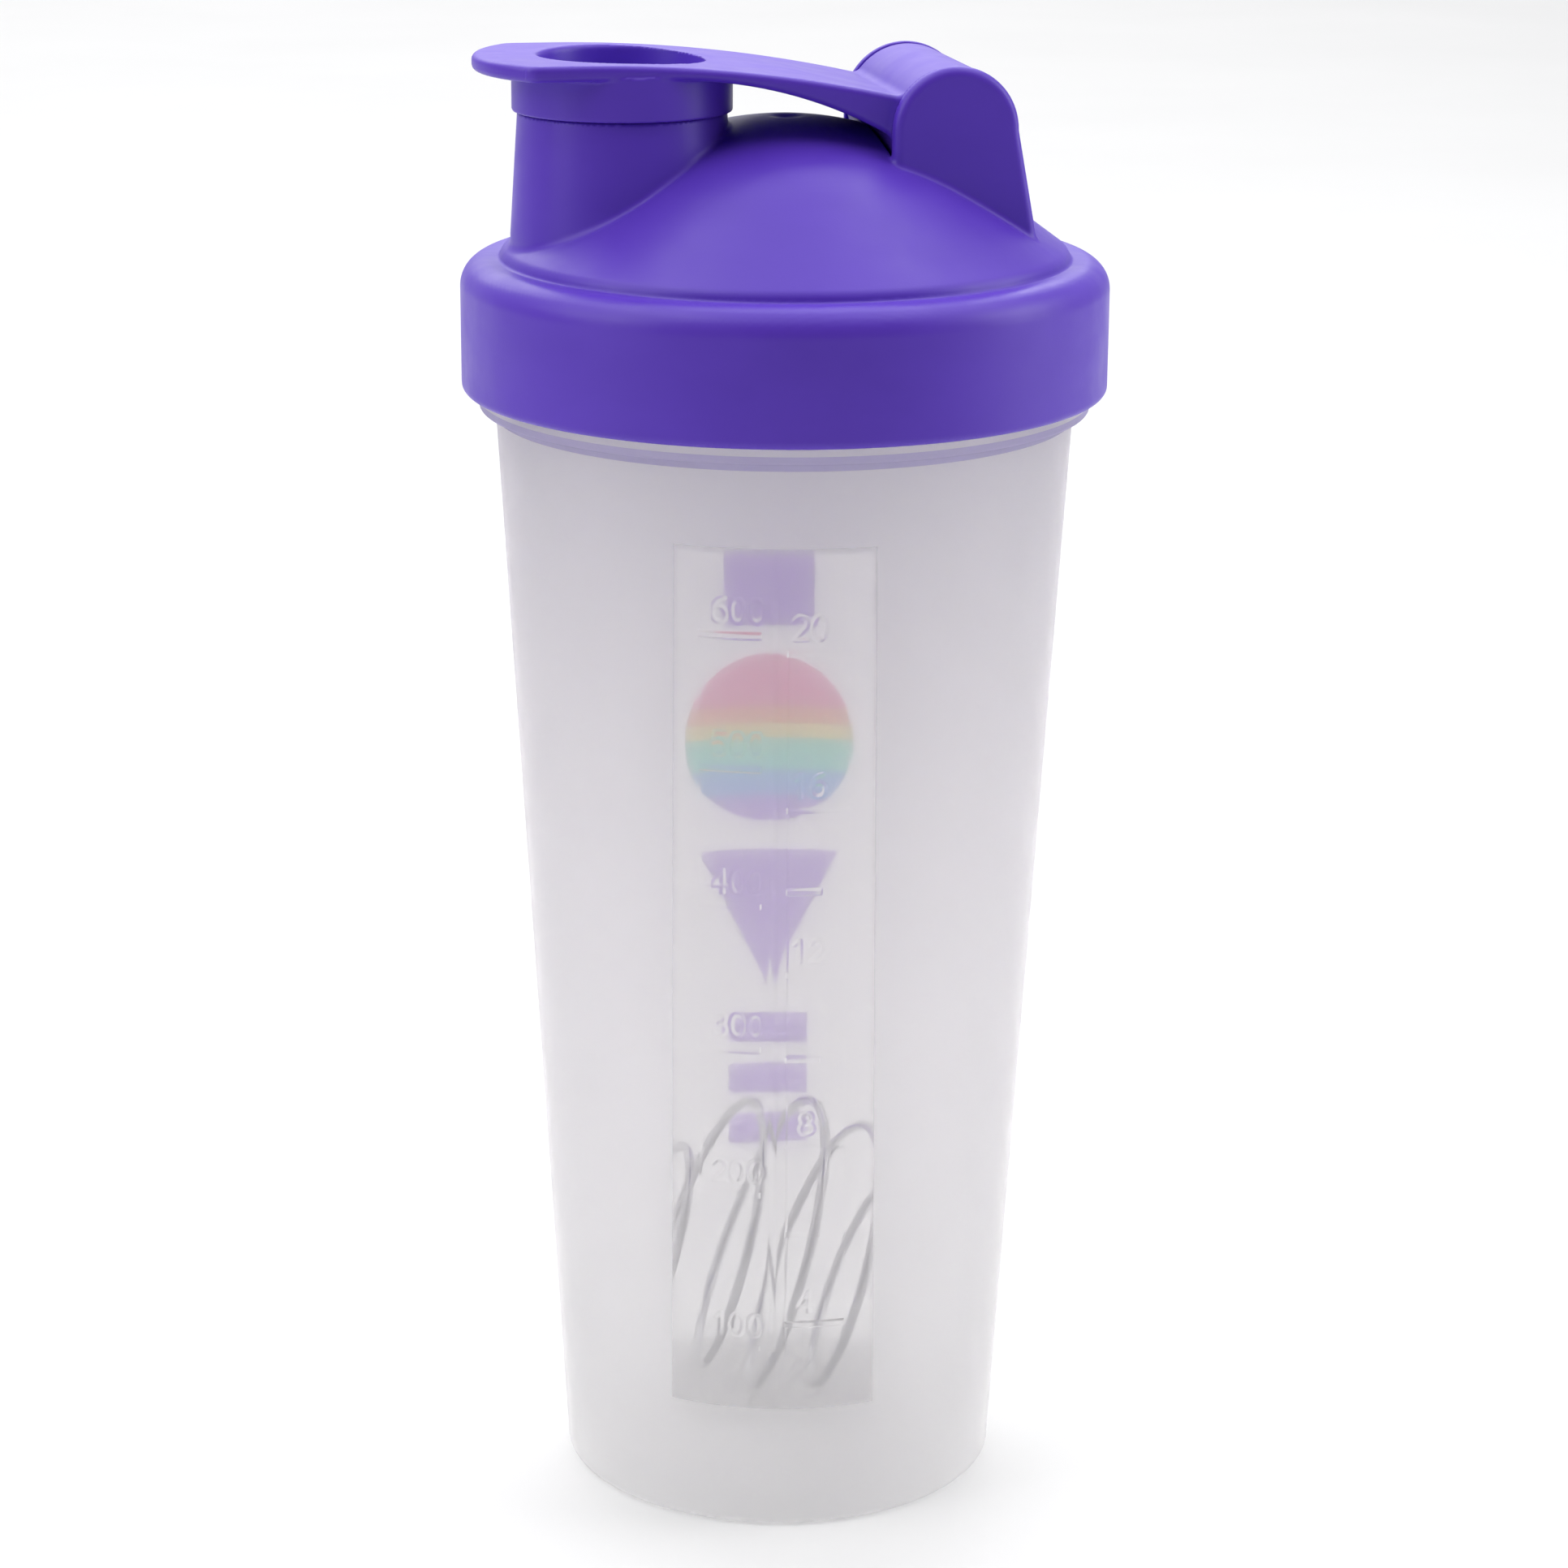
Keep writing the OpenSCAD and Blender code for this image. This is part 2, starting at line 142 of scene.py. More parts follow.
# ============ meshes
def make_piece(name, vertices, faces, body, materials, replaced=(), face_material=None):
    """A mesh object from millimetre vertices and groups of faces with equal sides, riding on a CAD body."""
    mesh = bpy.data.meshes.new(name)
    vertices = np.asarray(vertices, float) * MM
    corners = np.concatenate([np.asarray(group, np.int32).ravel() for group in faces])
    sides = np.concatenate([np.full(len(group), np.shape(group)[1], np.int32) for group in faces])
    mesh.vertices.add(len(vertices))
    mesh.vertices.foreach_set("co", vertices.ravel())
    mesh.loops.add(len(corners))
    mesh.loops.foreach_set("vertex_index", corners)
    mesh.polygons.add(len(sides))
    mesh.polygons.foreach_set("loop_start", np.cumsum(sides) - sides)
    mesh.polygons.foreach_set("loop_total", sides)
    mesh.update(calc_edges=True)
    mesh.polygons.foreach_set("use_smooth", np.ones(len(sides), bool))
    for material in materials:
        mesh.materials.append(material)
    if face_material is not None:
        mesh.polygons.foreach_set("material_index", np.asarray(face_material, np.int32))
    piece = bpy.data.objects.new(name, mesh)
    bpy.context.scene.collection.objects.link(piece)
    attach(piece, body)
    if replaced:
        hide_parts(*replaced)
    return piece


def arc(centre, radius, start, end, count):
    """Points on an arc, angles in degrees."""
    angles = np.radians(np.linspace(start, end, count + 1))
    return [(centre[0] + radius * math.cos(a), centre[1] + radius * math.sin(a)) for a in angles]


# ------------ distance fields
def polygon_distance(outline, u, v):
    """Signed distance from points (u, v) to a closed outline, negative inside."""
    points = np.array(outline, float)
    best = np.full(u.shape, 1e9)
    inside = np.zeros(u.shape, bool)
    for (ax, ay), (bx, by) in zip(points, np.roll(points, -1, axis=0)):
        ex, ey = bx - ax, by - ay
        length2 = ex * ex + ey * ey
        if length2 < 1e-12:
            continue
        t = np.clip(((u - ax) * ex + (v - ay) * ey) / length2, 0, 1)
        best = np.minimum(best, (u - ax - t * ex) ** 2 + (v - ay - t * ey) ** 2)
        crosses = (ay > v) != (by > v)
        if ey != 0:
            inside ^= crosses & (u < ax + (v - ay) * ex / ey)
    return np.where(inside, -1, 1) * np.sqrt(best)


class Outline:
    """A flat outline's signed distance, tabulated once and then looked up."""

    def __init__(self, points, step=0.1, margin=4.0):
        points = np.array(points, float)
        self.low = points.min(0) - margin
        self.step = step
        size = np.ceil((points.max(0) + margin - self.low) / step).astype(int) + 1
        u = self.low[0] + step * np.arange(size[0])
        v = self.low[1] + step * np.arange(size[1])
        self.table = polygon_distance(points, u[:, None] + 0 * v, v + 0 * u[:, None]).astype(np.float32)

    def __call__(self, u, v):
        a = (u - self.low[0]) / self.step
        b = (v - self.low[1]) / self.step
        last = np.array(self.table.shape) - 2
        i = np.clip(np.floor(a), 0, last[0]).astype(np.int32)
        j = np.clip(np.floor(b), 0, last[1]).astype(np.int32)
        s, t = np.clip(a - i, 0, 1), np.clip(b - j, 0, 1)
        table = self.table
        inside = (table[i, j] * (1 - s) + table[i + 1, j] * s) * (1 - t) \
            + (table[i, j + 1] * (1 - s) + table[i + 1, j + 1] * s) * t
        past = np.hypot(np.clip(-a, 0, None) + np.clip(a - last[0] - 1, 0, None),
                        np.clip(-b, 0, None) + np.clip(b - last[1] - 1, 0, None)) * self.step
        return inside + past


def join(a, b, blend=0.0):
    """Union of two fields, with a fillet of about blend."""
    if blend <= 0:
        return np.minimum(a, b)
    h = np.clip(blend - np.abs(a - b), 0, None) / blend
    return np.minimum(a, b) - h * h * blend / 4


def overlap(a, b, blend=0.0):
    """Intersection of two fields, with the edge rounded by about blend."""
    return -join(-a, -b, blend)


def cut(a, b, blend=0.0):
    """a without b, with the edge rounded by about blend."""
    return overlap(a, -b, blend)


def rounded_overlap(a, b, radius):
    """Intersection of two fields whose common edge has a true radius."""
    qa, qb = a + radius, b + radius
    return np.hypot(np.clip(qa, 0, None), np.clip(qb, 0, None)) + np.minimum(np.maximum(qa, qb), 0) - radius


def gradient(field, x, y, z, small):
    """Direction in which a field rises, one row a point."""
    return np.stack([field(x + small, y, z) - field(x - small, y, z),
                     field(x, y + small, z) - field(x, y - small, z),
                     field(x, y, z + small) - field(x, y, z - small)], 1) / (2 * small)


def surface_net(field, low, high, cell):
    """Quads round the zero surface of field, with one vertex in each grid cell that it crosses."""
    low, high = np.array(low, float), np.array(high, float)
    size = np.ceil((high - low) / cell).astype(int) + 1
    axes = [low[k] + cell * np.arange(size[k]) for k in range(3)]
    block = 8
    reach = 0.9 * block * cell + 0.7
    values = np.empty(size, np.float32)
    starts = [range(0, count, block) for count in size]
    middles = [np.array([(axis[i] + axis[min(i + block, len(axis)) - 1]) / 2 for i in first])
               for axis, first in zip(axes, starts)]
    middle_values = field(*(part.ravel() for part in np.meshgrid(*middles, indexing="ij")))
    middle_values = middle_values.reshape([len(part) for part in middles])
    for a, i in enumerate(starts[0]):
        for b, j in enumerate(starts[1]):
            near = np.abs(middle_values[a, b]) < reach
            column = np.repeat(middle_values[a, b], block)[:size[2]]
            values[i:i + block, j:j + block] = column
            if near.any():
                chosen = np.flatnonzero(np.repeat(near, block)[:size[2]])
                x, y, z = np.meshgrid(
                    axes[0][i:i + block], axes[1][j:j + block], axes[2][chosen], indexing="ij")
                part = values[i:i + block, j:j + block]
                part[:, :, chosen] = field(x, y, z)
    inside = values < 0
    total = np.zeros((*(size - 1), 3), np.float32)
    count = np.zeros(size - 1, np.uint8)
    quads = []
    for axis in range(3):
        near = [slice(None)] * 3
        far = [slice(None)] * 3
        near[axis], far[axis] = slice(None, -1), slice(1, None)
        crossing = np.argwhere(inside[tuple(near)] != inside[tuple(far)])
        step = np.zeros(3, int)
        step[axis] = 1
        v0 = values[tuple(crossing.T)]
        v1 = values[tuple((crossing + step).T)]
        t = v0 / (v0 - v1)
        place = crossing + step * t[:, None]
        others = [k for k in range(3) if k != axis]
        corners = []
        for da, db in ((0, 0), (-1, 0), (-1, -1), (0, -1)):
            at = crossing.copy()
            at[:, others[0]] += da
            at[:, others[1]] += db
            np.add.at(total, tuple(at.T), place)
            np.add.at(count, tuple(at.T), 1)
            corners.append(np.ravel_multi_index(tuple(at.T), count.shape))
        quad = np.stack(corners, 1)
        flip = (v0 < 0) != (axis == 1)
        quad[~flip] = quad[~flip][:, ::-1]
        quads.append(quad)
    used, quads = np.unique(np.concatenate(quads), return_inverse=True)
    quads = quads.reshape(-1, 4)
    points = low + cell * (total.reshape(-1, 3)[used] / count.ravel()[used, None]).astype(float)
    for _ in range(4):
        value = field(*points.T)
        slope = gradient(field, *points.T, cell * 0.05)
        slope /= np.clip((slope ** 2).sum(1), 0.25, None)[:, None]
        points -= np.clip(value, -cell / 2, cell / 2)[:, None] * slope
    return points, quads


# ============ looks
def material(name, colour, roughness, **settings):
    """A Principled material; settings are values for the shader's own sockets."""
    made = bpy.data.materials.new(name)
    made.use_nodes = True
    shader = made.node_tree.nodes["Principled BSDF"]
    shader.inputs["Base Color"].default_value = (*colour, 1)
    shader.inputs["Roughness"].default_value = roughness
    for socket, value in settings.items():
        shader.inputs[socket.replace("_", " ")].default_value = value
    return made, shader


def noise(made, scale, detail=3.0, stretch=(1, 1, 1)):
    """A noise texture in the object's own space; scale is in features a metre."""
    nodes, links = made.node_tree.nodes, made.node_tree.links
    place = nodes.new("ShaderNodeTexCoord")
    mapping = nodes.new("ShaderNodeMapping")
    mapping.inputs["Scale"].default_value = stretch
    texture = nodes.new("ShaderNodeTexNoise")
    texture.inputs["Scale"].default_value = scale
    texture.inputs["Detail"].default_value = detail
    links.new(place.outputs["Object"], mapping.inputs["Vector"])
    links.new(mapping.outputs["Vector"], texture.inputs["Vector"])
    return texture.outputs["Fac"]


def spread(made, factor, low, high, start=0.3, end=0.7):
    """Map a noise to values from low to high."""
    node = made.node_tree.nodes.new("ShaderNodeMapRange")
    for socket, value in (("From Min", start), ("From Max", end), ("To Min", low), ("To Max", high)):
        node.inputs[socket].default_value = value
    made.node_tree.links.new(factor, node.inputs["Value"])
    return node.outputs["Result"]


def tint(made, factor, first, second, target):
    """Blend two colours by a noise into a colour socket."""
    node = made.node_tree.nodes.new("ShaderNodeMix")
    node.data_type = "RGBA"
    node.inputs["A"].default_value = (*first, 1)
    node.inputs["B"].default_value = (*second, 1)
    made.node_tree.links.new(factor, node.inputs["Factor"])
    made.node_tree.links.new(node.outputs["Result"], target)


def bump(made, height, distance, strength, shader):
    """Feed a height into the shader's normal; distance in millimetres."""
    node = made.node_tree.nodes.new("ShaderNodeBump")
    node.inputs["Distance"].default_value = distance * MM
    node.inputs["Strength"].default_value = strength
    made.node_tree.links.new(height, node.inputs["Height"])
    made.node_tree.links.new(node.outputs["Normal"], shader.inputs["Normal"])


def gloss(made, grain, low, high, shader):
    """Vary the roughness from low to high by a noise."""
    made.node_tree.links.new(spread(made, grain, low, high), shader.inputs["Roughness"])


def purple_plastic():
    """Satin polypropylene: faint flow marks in the colour, a moulded grain and slightly uneven gloss."""
    made, shader = material("purple_polypropylene", (0.09, 0.034, 0.47), 0.42, Specular_IOR_Level=0.34)
    flow = noise(made, 45, 4, (1, 1, 2.2))
    tint(made, spread(made, flow, 0, 1), (0.088, 0.032, 0.455), (0.098, 0.037, 0.49),
         shader.inputs["Base Color"])
    gloss(made, noise(made, 160, 4), 0.35, 0.45, shader)
    bump(made, noise(made, 2600, 2), 0.02, 0.35, shader)
    return made


def milky(made, shader, share, colour):
    """Mix a share of light scattered straight through the milky plastic into its surface."""
    nodes, links = made.node_tree.nodes, made.node_tree.links
    glow = nodes.new("ShaderNodeBsdfTranslucent")
    glow.inputs["Color"].default_value = (*colour, 1)
    mix = nodes.new("ShaderNodeMixShader")
    mix.inputs["Fac"].default_value = share
    links.new(shader.outputs["BSDF"], mix.inputs[1])
    links.new(glow.outputs["BSDF"], mix.inputs[2])
    links.new(mix.outputs["Shader"], nodes["Material Output"].inputs["Surface"])
    return glow


def painted_shade_by_height(made, foot_colour, shaded_top_colour, *targets):
    """Painted shade: darken the plastic's colour from the foot to the top, evening out the light across the
    wall, with faint clouds of uneven tone in it.
    """
    nodes, links = made.node_tree.nodes, made.node_tree.links
    place = nodes.new("ShaderNodeTexCoord")
    parts = nodes.new("ShaderNodeSeparateXYZ")
    links.new(place.outputs["Object"], parts.inputs["Vector"])
    # painted shade: the share of the darker top colour grows with height
    rise = spread(made, parts.outputs["Z"], 0, 0.92, 0.0, WALL_TOP_Z * MM)
    total = nodes.new("ShaderNodeMath")
    links.new(rise, total.inputs[0])
    links.new(spread(made, noise(made, 25, 3, (1, 1, 0.35)), 0, 0.08), total.inputs[1])
    for target in targets:
        tint(made, total.outputs["Value"], foot_colour, shaded_top_colour, target)


def frosted_outside(name, foot_colour, shaded_top_colour):
    """The spark-eroded outer face of the cup: rough, so what is behind it blurs with distance."""
    made, shader = material(name, foot_colour, 0.72, Transmission_Weight=0.7, IOR=1.25)
    glow = milky(made, shader, 0.3, foot_colour)
    # painted shade: the outer face darkens towards the top of the wall
    painted_shade_by_height(made, foot_colour, shaded_top_colour, shader.inputs["Base Color"], glow.inputs["Color"])
    gloss(made, noise(made, 700, 3), 0.68, 0.78, shader)
    bump(made, noise(made, 2200, 2), 0.015, 0.4, shader)
    return made


def smooth_inside(name, haze, through, shaded_top_colour):
    """The cup's inner face and rim: moulded smooth, with faint draw lines; haze is the milky share."""
    foot_colour = (0.985, 0.98, 0.98)
    made, shader = material(name, foot_colour, 0.03, Transmission_Weight=through, IOR=1.25)
    glow = milky(made, shader, haze, foot_colour)
    # painted shade: the inner face darkens towards the top of the wall
    painted_shade_by_height(made, foot_colour, shaded_top_colour, shader.inputs["Base Color"], glow.inputs["Color"])
    gloss(made, noise(made, 90, 3, (1, 1, 0.1)), 0.0, 0.03, shader)
    bump(made, noise(made, 60, 2, (1, 1, 0.15)), 0.03, 0.15, shader)
    return made


def polished_strip():
    """The polished strip with the scale: milky but sharp, with the slight waviness of moulded plastic."""
    foot_colour = (0.88, 0.875, 0.875)
    made, shader = material("clear_polypropylene", foot_colour, 0.02, Transmission_Weight=0.85, IOR=1.25)
    glow = milky(made, shader, 0.36, foot_colour)
    # painted shade: the strip darkens towards the top of the wall
    painted_shade_by_height(made, foot_colour, (0.84, 0.83, 0.835), shader.inputs["Base Color"], glow.inputs["Color"])
    gloss(made, noise(made, 150, 3), 0.0, 0.03, shader)
    bump(made, noise(made, 110, 2, (1, 1, 0.4)), 0.02, 0.12, shader)
    return made


def ink(name, colour):
    """Screen-printed ink: matt, a little uneven in strength, with a fine mesh grain."""
    made, shader = material(name, colour, 0.5)
    pale = tuple(c + (1 - c) * 0.12 for c in colour)
    tint(made, spread(made, noise(made, 900, 3), 0, 1), colour, pale, shader.inputs["Base Color"])
    bump(made, noise(made, 5000, 1), 0.01, 0.3, shader)
    milky(made, shader, 0.8, tuple(min(1, c * 1.15) for c in colour))
    return made


def steel_wire():
    """Drawn stainless wire: metallic, with fine lines and slight smears."""
    made, shader = material("stainless_wire", (0.6, 0.6, 0.62), 0.2, Metallic=1.0)
    tint(made, spread(made, noise(made, 300, 3), 0, 1), (0.56, 0.56, 0.58), (0.66, 0.66, 0.68),
         shader.inputs["Base Color"])
    gloss(made, noise(made, 1500, 3), 0.06, 0.17, shader)
    bump(made, noise(made, 3000, 2, (1, 1, 0.2)), 0.01, 0.3, shader)
    return made


def silicone():
    """The seal: soft milky rubber."""
    made, shader = material("milky_silicone", (0.86, 0.86, 0.87), 0.45, Subsurface_Weight=0.2)
    shader.inputs["Subsurface Radius"].default_value = (0.002, 0.002, 0.002)
    gloss(made, noise(made, 400, 3), 0.4, 0.52, shader)
    bump(made, noise(made, 1800, 2), 0.02, 0.3, shader)
    return made


# ============ lid and flip cap
def both_sides(outside, inside=()):
    """Close a section that touches the axis by adding its mirror image."""
    def mirrored(points):
        return [(-r, z) for r, z in reversed(points)]
    return list(outside) + mirrored(outside) + mirrored(inside) + list(inside)


def dome_places():
    """Radius and height where the dome's cap meets its straight flank."""
    return DOME_TOP_R * math.sin(DOME_SLOPE), APEX_Z - DOME_TOP_R * (1 - math.cos(DOME_SLOPE))


def lid_outline():
    """Section of the lid without its spout: skirt, shoulder, deck and dome, then the inside."""
    flank_r, flank_z = dome_places()
    slope, steep, bend, foot, skirt_edge = DOME_SLOPE, math.radians(75), 2.5, 0.6, 1.1
    bend_z = DECK_Z + foot - (bend + foot) * math.cos(steep)
    bend_r = flank_r + (flank_z - bend_z - bend * math.cos(slope)) / math.tan(slope) - bend * math.sin(slope)
    foot_r = bend_r + (bend + foot) * math.sin(steep)
    up = 90 - math.degrees(slope)
    skirt_in, ring_out, ring_low = LID_R - LID_WALL, 41.2, RIM_Z - 2.4
    deck_low = RIM_Z + SEAL_GAP
    void_z = flank_z - (RING_IN_R - flank_r) * math.tan(slope) - LID_WALL / math.cos(slope)
    centre = (0, APEX_Z - DOME_TOP_R)
    outside = [(skirt_in, SKIRT_Z)] + arc((LID_R - skirt_edge, SKIRT_Z + skirt_edge), skirt_edge, -90, 0, 6) \
        + arc((LID_R - SHOULDER_R, DECK_Z - SHOULDER_R), SHOULDER_R, 0, 90, 16) \
        + arc((foot_r, DECK_Z + foot), foot, 270, 270 - math.degrees(steep), 6) \
        + arc((bend_r, bend_z), bend, 90 - math.degrees(steep), up, 8) + arc(centre, DOME_TOP_R, up, 90, 24)
    inside = arc(centre, DOME_TOP_R - LID_WALL, 90, up, 16) + [
        (RING_IN_R, void_z), (RING_IN_R, ring_low), (ring_out - 0.5, ring_low), (ring_out, ring_low + 1),
        (ring_out, deck_low), (skirt_in - 1, deck_low), (skirt_in, deck_low - 1)]
    return both_sides(outside, inside)


def dome_outline(depth, low_r, low_z):
    """Everything under the dome's cap, depth below its surface, down to low_z."""
    flank_r, flank_z = dome_places()
    up = 90 - math.degrees(DOME_SLOPE)
    foot_z = flank_z - (low_r - flank_r) * math.tan(DOME_SLOPE) - depth / math.cos(DOME_SLOPE)
    return both_sides([(low_r, low_z), (low_r, foot_z)]
                      + arc((0, APEX_Z - DOME_TOP_R), DOME_TOP_R - depth, up, 90, 20))


def spout_outline():
    """The solid spout, with a step that the flip cap's collar sits on."""
    return both_sides([
        (SPOUT_FOOT_R, DECK_Z - 4), (SPOUT_FOOT_R, DECK_Z + 4), (SPOUT_TOP_R, SPOUT_STEP_Z - 0.3),
        (SPOUT_TOP_R - 0.3, SPOUT_STEP_Z), (SPOUT_NECK_R, SPOUT_STEP_Z),
        (SPOUT_NECK_R - 0.25, SPOUT_TOP_Z - 0.5)]
        + arc((SPOUT_NECK_R - 0.75, SPOUT_TOP_Z - 0.5), 0.5, 0, 90, 4))


def cheek_outline():
    """A hinge cheek from the side: round over the axle, then sloping down to the deck."""
    return arc((HINGE_X, HINGE_Z), HINGE_R, 0, 180, 40) + [
        (HINGE_X - HINGE_R, HINGE_Z - 12), (HINGE_X + HINGE_R, DECK_Z + 0.5), (HINGE_X + 13, DECK_Z + 2),
        (HINGE_X + 12.45, DECK_Z + 4.8)]


LID_PIECE = Outline(lid_outline())
DOME_PIECE = Outline(dome_outline(0, DOME_FOOT_R - 1, DECK_Z - 1))
DOME_HOLLOW = Outline(dome_outline(LID_WALL, RING_IN_R, RIM_Z - 10))
SPOUT_PIECE = Outline(spout_outline())
CHEEK_PIECE = Outline(cheek_outline())


def lid_thread(x, y, z, r):
    """Field of the two thread ridges inside the skirt."""
    crest, root, turn = 45.3, 47.1, 180.0
    start_z = THREAD_START_Z + THREAD_LEAD / 4
    field = np.full(np.broadcast(x, z).shape, 9.0)
    for start in (0, 180):
        along = (np.degrees(np.arctan2(y, x)) - start) % 360
        ends = np.clip((np.minimum(along, turn - along) / 10 + 0.3) / 3, 0, 1)
        half = 0.6 + 0.6 * (r - crest) / 2.3
        off = np.abs(z - start_z - THREAD_LEAD * along / 360) - half
        ridge = np.maximum(np.maximum(root - (root - crest) * ends - r, off * 0.96), r - root - 0.5)
        field = np.minimum(field, np.where(along <= turn, ridge, 9.0))
    return field


def lid_field(x, y, z):
    """The lid: shell, hinge trough, cheeks and spout, with the bore, sockets and dimple cut out."""
    r = np.hypot(x, y)
    side = np.abs(y)
    axle = np.hypot(x - HINGE_X, z - HINGE_Z)
    spout_r = np.hypot(x - SPOUT_X, y)
    shell = np.minimum(LID_PIECE(r, z), lid_thread(x, y, z, r))
    liner = np.maximum(np.maximum(axle - TROUGH_R - LID_WALL, side - CHEEK_IN - CHEEK_T), DOME_PIECE(r, z))
    trough = np.maximum(axle - TROUGH_R, side - CHEEK_IN)
    shell = cut(np.minimum(shell, liner), trough, 0.5)
    cheek = rounded_overlap(CHEEK_PIECE(x, z), side - CHEEK_IN - CHEEK_T, 1.35)
    cheek = rounded_overlap(cheek, CHEEK_IN - side, 0.35)
    raised = np.maximum(np.minimum(SPOUT_PIECE(spout_r, z), cheek), -DOME_HOLLOW(r, z))
    body = join(shell, raised, 0.8)
    body = cut(body, np.maximum(spout_r - SPOUT_BORE_R, RIM_Z - 1 - z), 0.5)
    body = np.maximum(body, -np.maximum(axle - TRUNNION_R - 0.05, side - CHEEK_IN - 1.35))
    dimple = np.sqrt(x * x + y * y + (z - APEX_Z - 5.5) ** 2) - 6
    return cut(body, dimple, 0.4)


def arm_plan():
    """The arm from above: straight sides, rounded corners and a shallow arc at the thumb tab."""
    tab_r, corner = 22.8, 3.0
    centre = TAB_X + tab_r
    corner_y = ARM_HALF_W - corner
    corner_x = centre - math.sqrt((tab_r - corner) ** 2 - corner_y ** 2)
    turn = math.degrees(math.atan2(corner_y, corner_x - centre))
    half = [(HINGE_X, BARREL_HALF_W), (HINGE_X - HINGE_R - 2, BARREL_HALF_W)] \
        + arc((corner_x, corner_y), corner, 90, turn, 8) + arc((centre, 0), tab_r, turn, 180, 16)
    return half + [(x, -y) for x, y in reversed(half)]


def arm_side():
    """The arm from the side: level over the spout, then bending down to the hinge and getting thicker."""
    def bend(x, z, radius, first):
        end = math.degrees(math.acos((HINGE_X - x) / radius))
        return arc((x, z - radius), radius, *((90, end) if first else (end, 90)), 24)
    return [(TAB_X - 3, ARM_LOW_Z), (TAB_X - 3, ARM_TOP_Z)] \
        + bend(-33, ARM_TOP_Z, 213, True) + bend(-20, ARM_LOW_Z, 66, False)


def cap_collar_outline():
    """The ring that closes round the spout."""
    edge = 0.25
    return [(CAP_COLLAR_IN_R, CAP_COLLAR_Z)] \
        + arc((CAP_COLLAR_R - edge, CAP_COLLAR_Z + edge), edge, -90, 0, 5) \
        + [(CAP_COLLAR_R, ARM_LOW_Z + 0.5), (CAP_COLLAR_IN_R, ARM_LOW_Z + 0.5)]


def plug_outline():
    """The plug that goes into the spout, still solid."""
    return both_sides([(PLUG_R, ARM_LOW_Z + 0.5), (PLUG_TIP_R, PLUG_Z + 0.4), (PLUG_TIP_R - 0.4, PLUG_Z)])


def recess_outline():
    """The hollow of the plug, open at the top of the arm with a rolled edge."""
    return both_sides(
        [(PLUG_R - PLUG_WALL + 1, ARM_TOP_Z + 3)]
        + arc((PLUG_R - PLUG_WALL + 1, ARM_TOP_Z - 1), 1, 90, 180, 8)
        + arc((PLUG_TIP_R - PLUG_WALL - 0.5, PLUG_Z + PLUG_WALL + 0.5), 0.5, 0, -90, 4))


ARM_PLAN = Outline(arm_plan())
ARM_SIDE = Outline(arm_side())
COLLAR_PIECE = Outline(cap_collar_outline())
PLUG_PIECE = Outline(plug_outline())
RECESS = Outline(recess_outline())


def cap_field(x, y, z):
    """The flip cap: arm, hinge barrel, trunnions, collar and hollow plug."""
    side = np.abs(y)
    axle = np.hypot(x - HINGE_X, z - HINGE_Z)
    spout_r = np.hypot(x - SPOUT_X, y)
    arm = rounded_overlap(ARM_PLAN(x, y), ARM_SIDE(x, z), 0.9)
    barrel = rounded_overlap(axle - HINGE_R + 0.2, side - BARREL_HALF_W, 0.6)
    body = join(arm, barrel, 1.0)
    trunnion = rounded_overlap(axle - TRUNNION_R, side - CHEEK_IN - 1.25, 0.3)
    body = np.minimum(body, trunnion)
    body = join(body, COLLAR_PIECE(spout_r, z), 0.35)
    body = join(body, PLUG_PIECE(spout_r, z), 0.35)
    return np.maximum(body, -RECESS(spout_r, z))


def field_normals(piece, field):
    """Shade a piece with the true normals of its field."""
    mesh = piece.data
    flat = np.empty(len(mesh.vertices) * 3, np.float32)
    mesh.vertices.foreach_get("co", flat)
    normals = gradient(field, *(flat.reshape(-1, 3).astype(float) / MM).T, 0.06)
    normals /= np.clip(np.linalg.norm(normals, axis=1), 1e-9, None)[:, None]
    mesh.normals_split_custom_set_from_vertices(normals.tolist())


MOST_TRIANGLES = 190_000


def thin_out(piece, most_faces):
    """Collapse edges where a piece is flat until it has at most so many triangles."""
    triangles = len(piece.data.polygons) * 2
    if triangles <= most_faces:
        return
    modifier = piece.modifiers.new("thin", "DECIMATE")
    modifier.ratio = most_faces / triangles
    graph = bpy.context.evaluated_depsgraph_get()
    thinned = bpy.data.meshes.new_from_object(piece.evaluated_get(graph))
    piece.modifiers.clear()
    piece.data = thinned


def field_piece(name, field, node, cell, look, body, margin=1.5):
    """A smooth closed piece for a CAD node, from a distance field."""
    low, high = box_mm(node)
    points, quads = surface_net(field, low - margin, high + margin, cell)
    piece = make_piece(name, points, [quads], body, [look], [node])
    thin_out(piece, MOST_TRIANGLES)
    field_normals(piece, field)


# ============ cup
TAPER = (WALL_TOP_R - FOOT_R) / WALL_TOP_Z
ML_MARKS = {30.3: "100", 56.1: "200", 80.1: "300", 103.0: "400", 124.5: "500", 144.9: "600"}
OZ_MARKS = {34.4: "4", 64.2: "8", 92.2: "12", 118.2: "16", 142.3: "20"}
OZ_HALF_MARKS = (49.6, 78.5, 105.4)
MARK_T = 1.1
MARK_H = 0.15
DIGIT_SHARE = 0.45
MARK_GAP, MARK_END, HALF_MARK_END = 1.8, 11.3, 7.3
RIB_HALF = 0.7
RIB_LOW_Z, RIB_HIGH_Z = 30.3, 157.5
LINE_AT, LINE_HALF = 1.95, 0.16
DIGIT_H, DIGIT_W, DIGIT_STEP, DIGIT_RISE = 3.6, 2.05, 2.75, 2.6
STROKE_HALF = 0.27
FINE_STRIP = 12.5
SOFT = 0.16


def wall_r(z):
    """Radius of the tapered outer wall."""
    return FOOT_R + TAPER * z


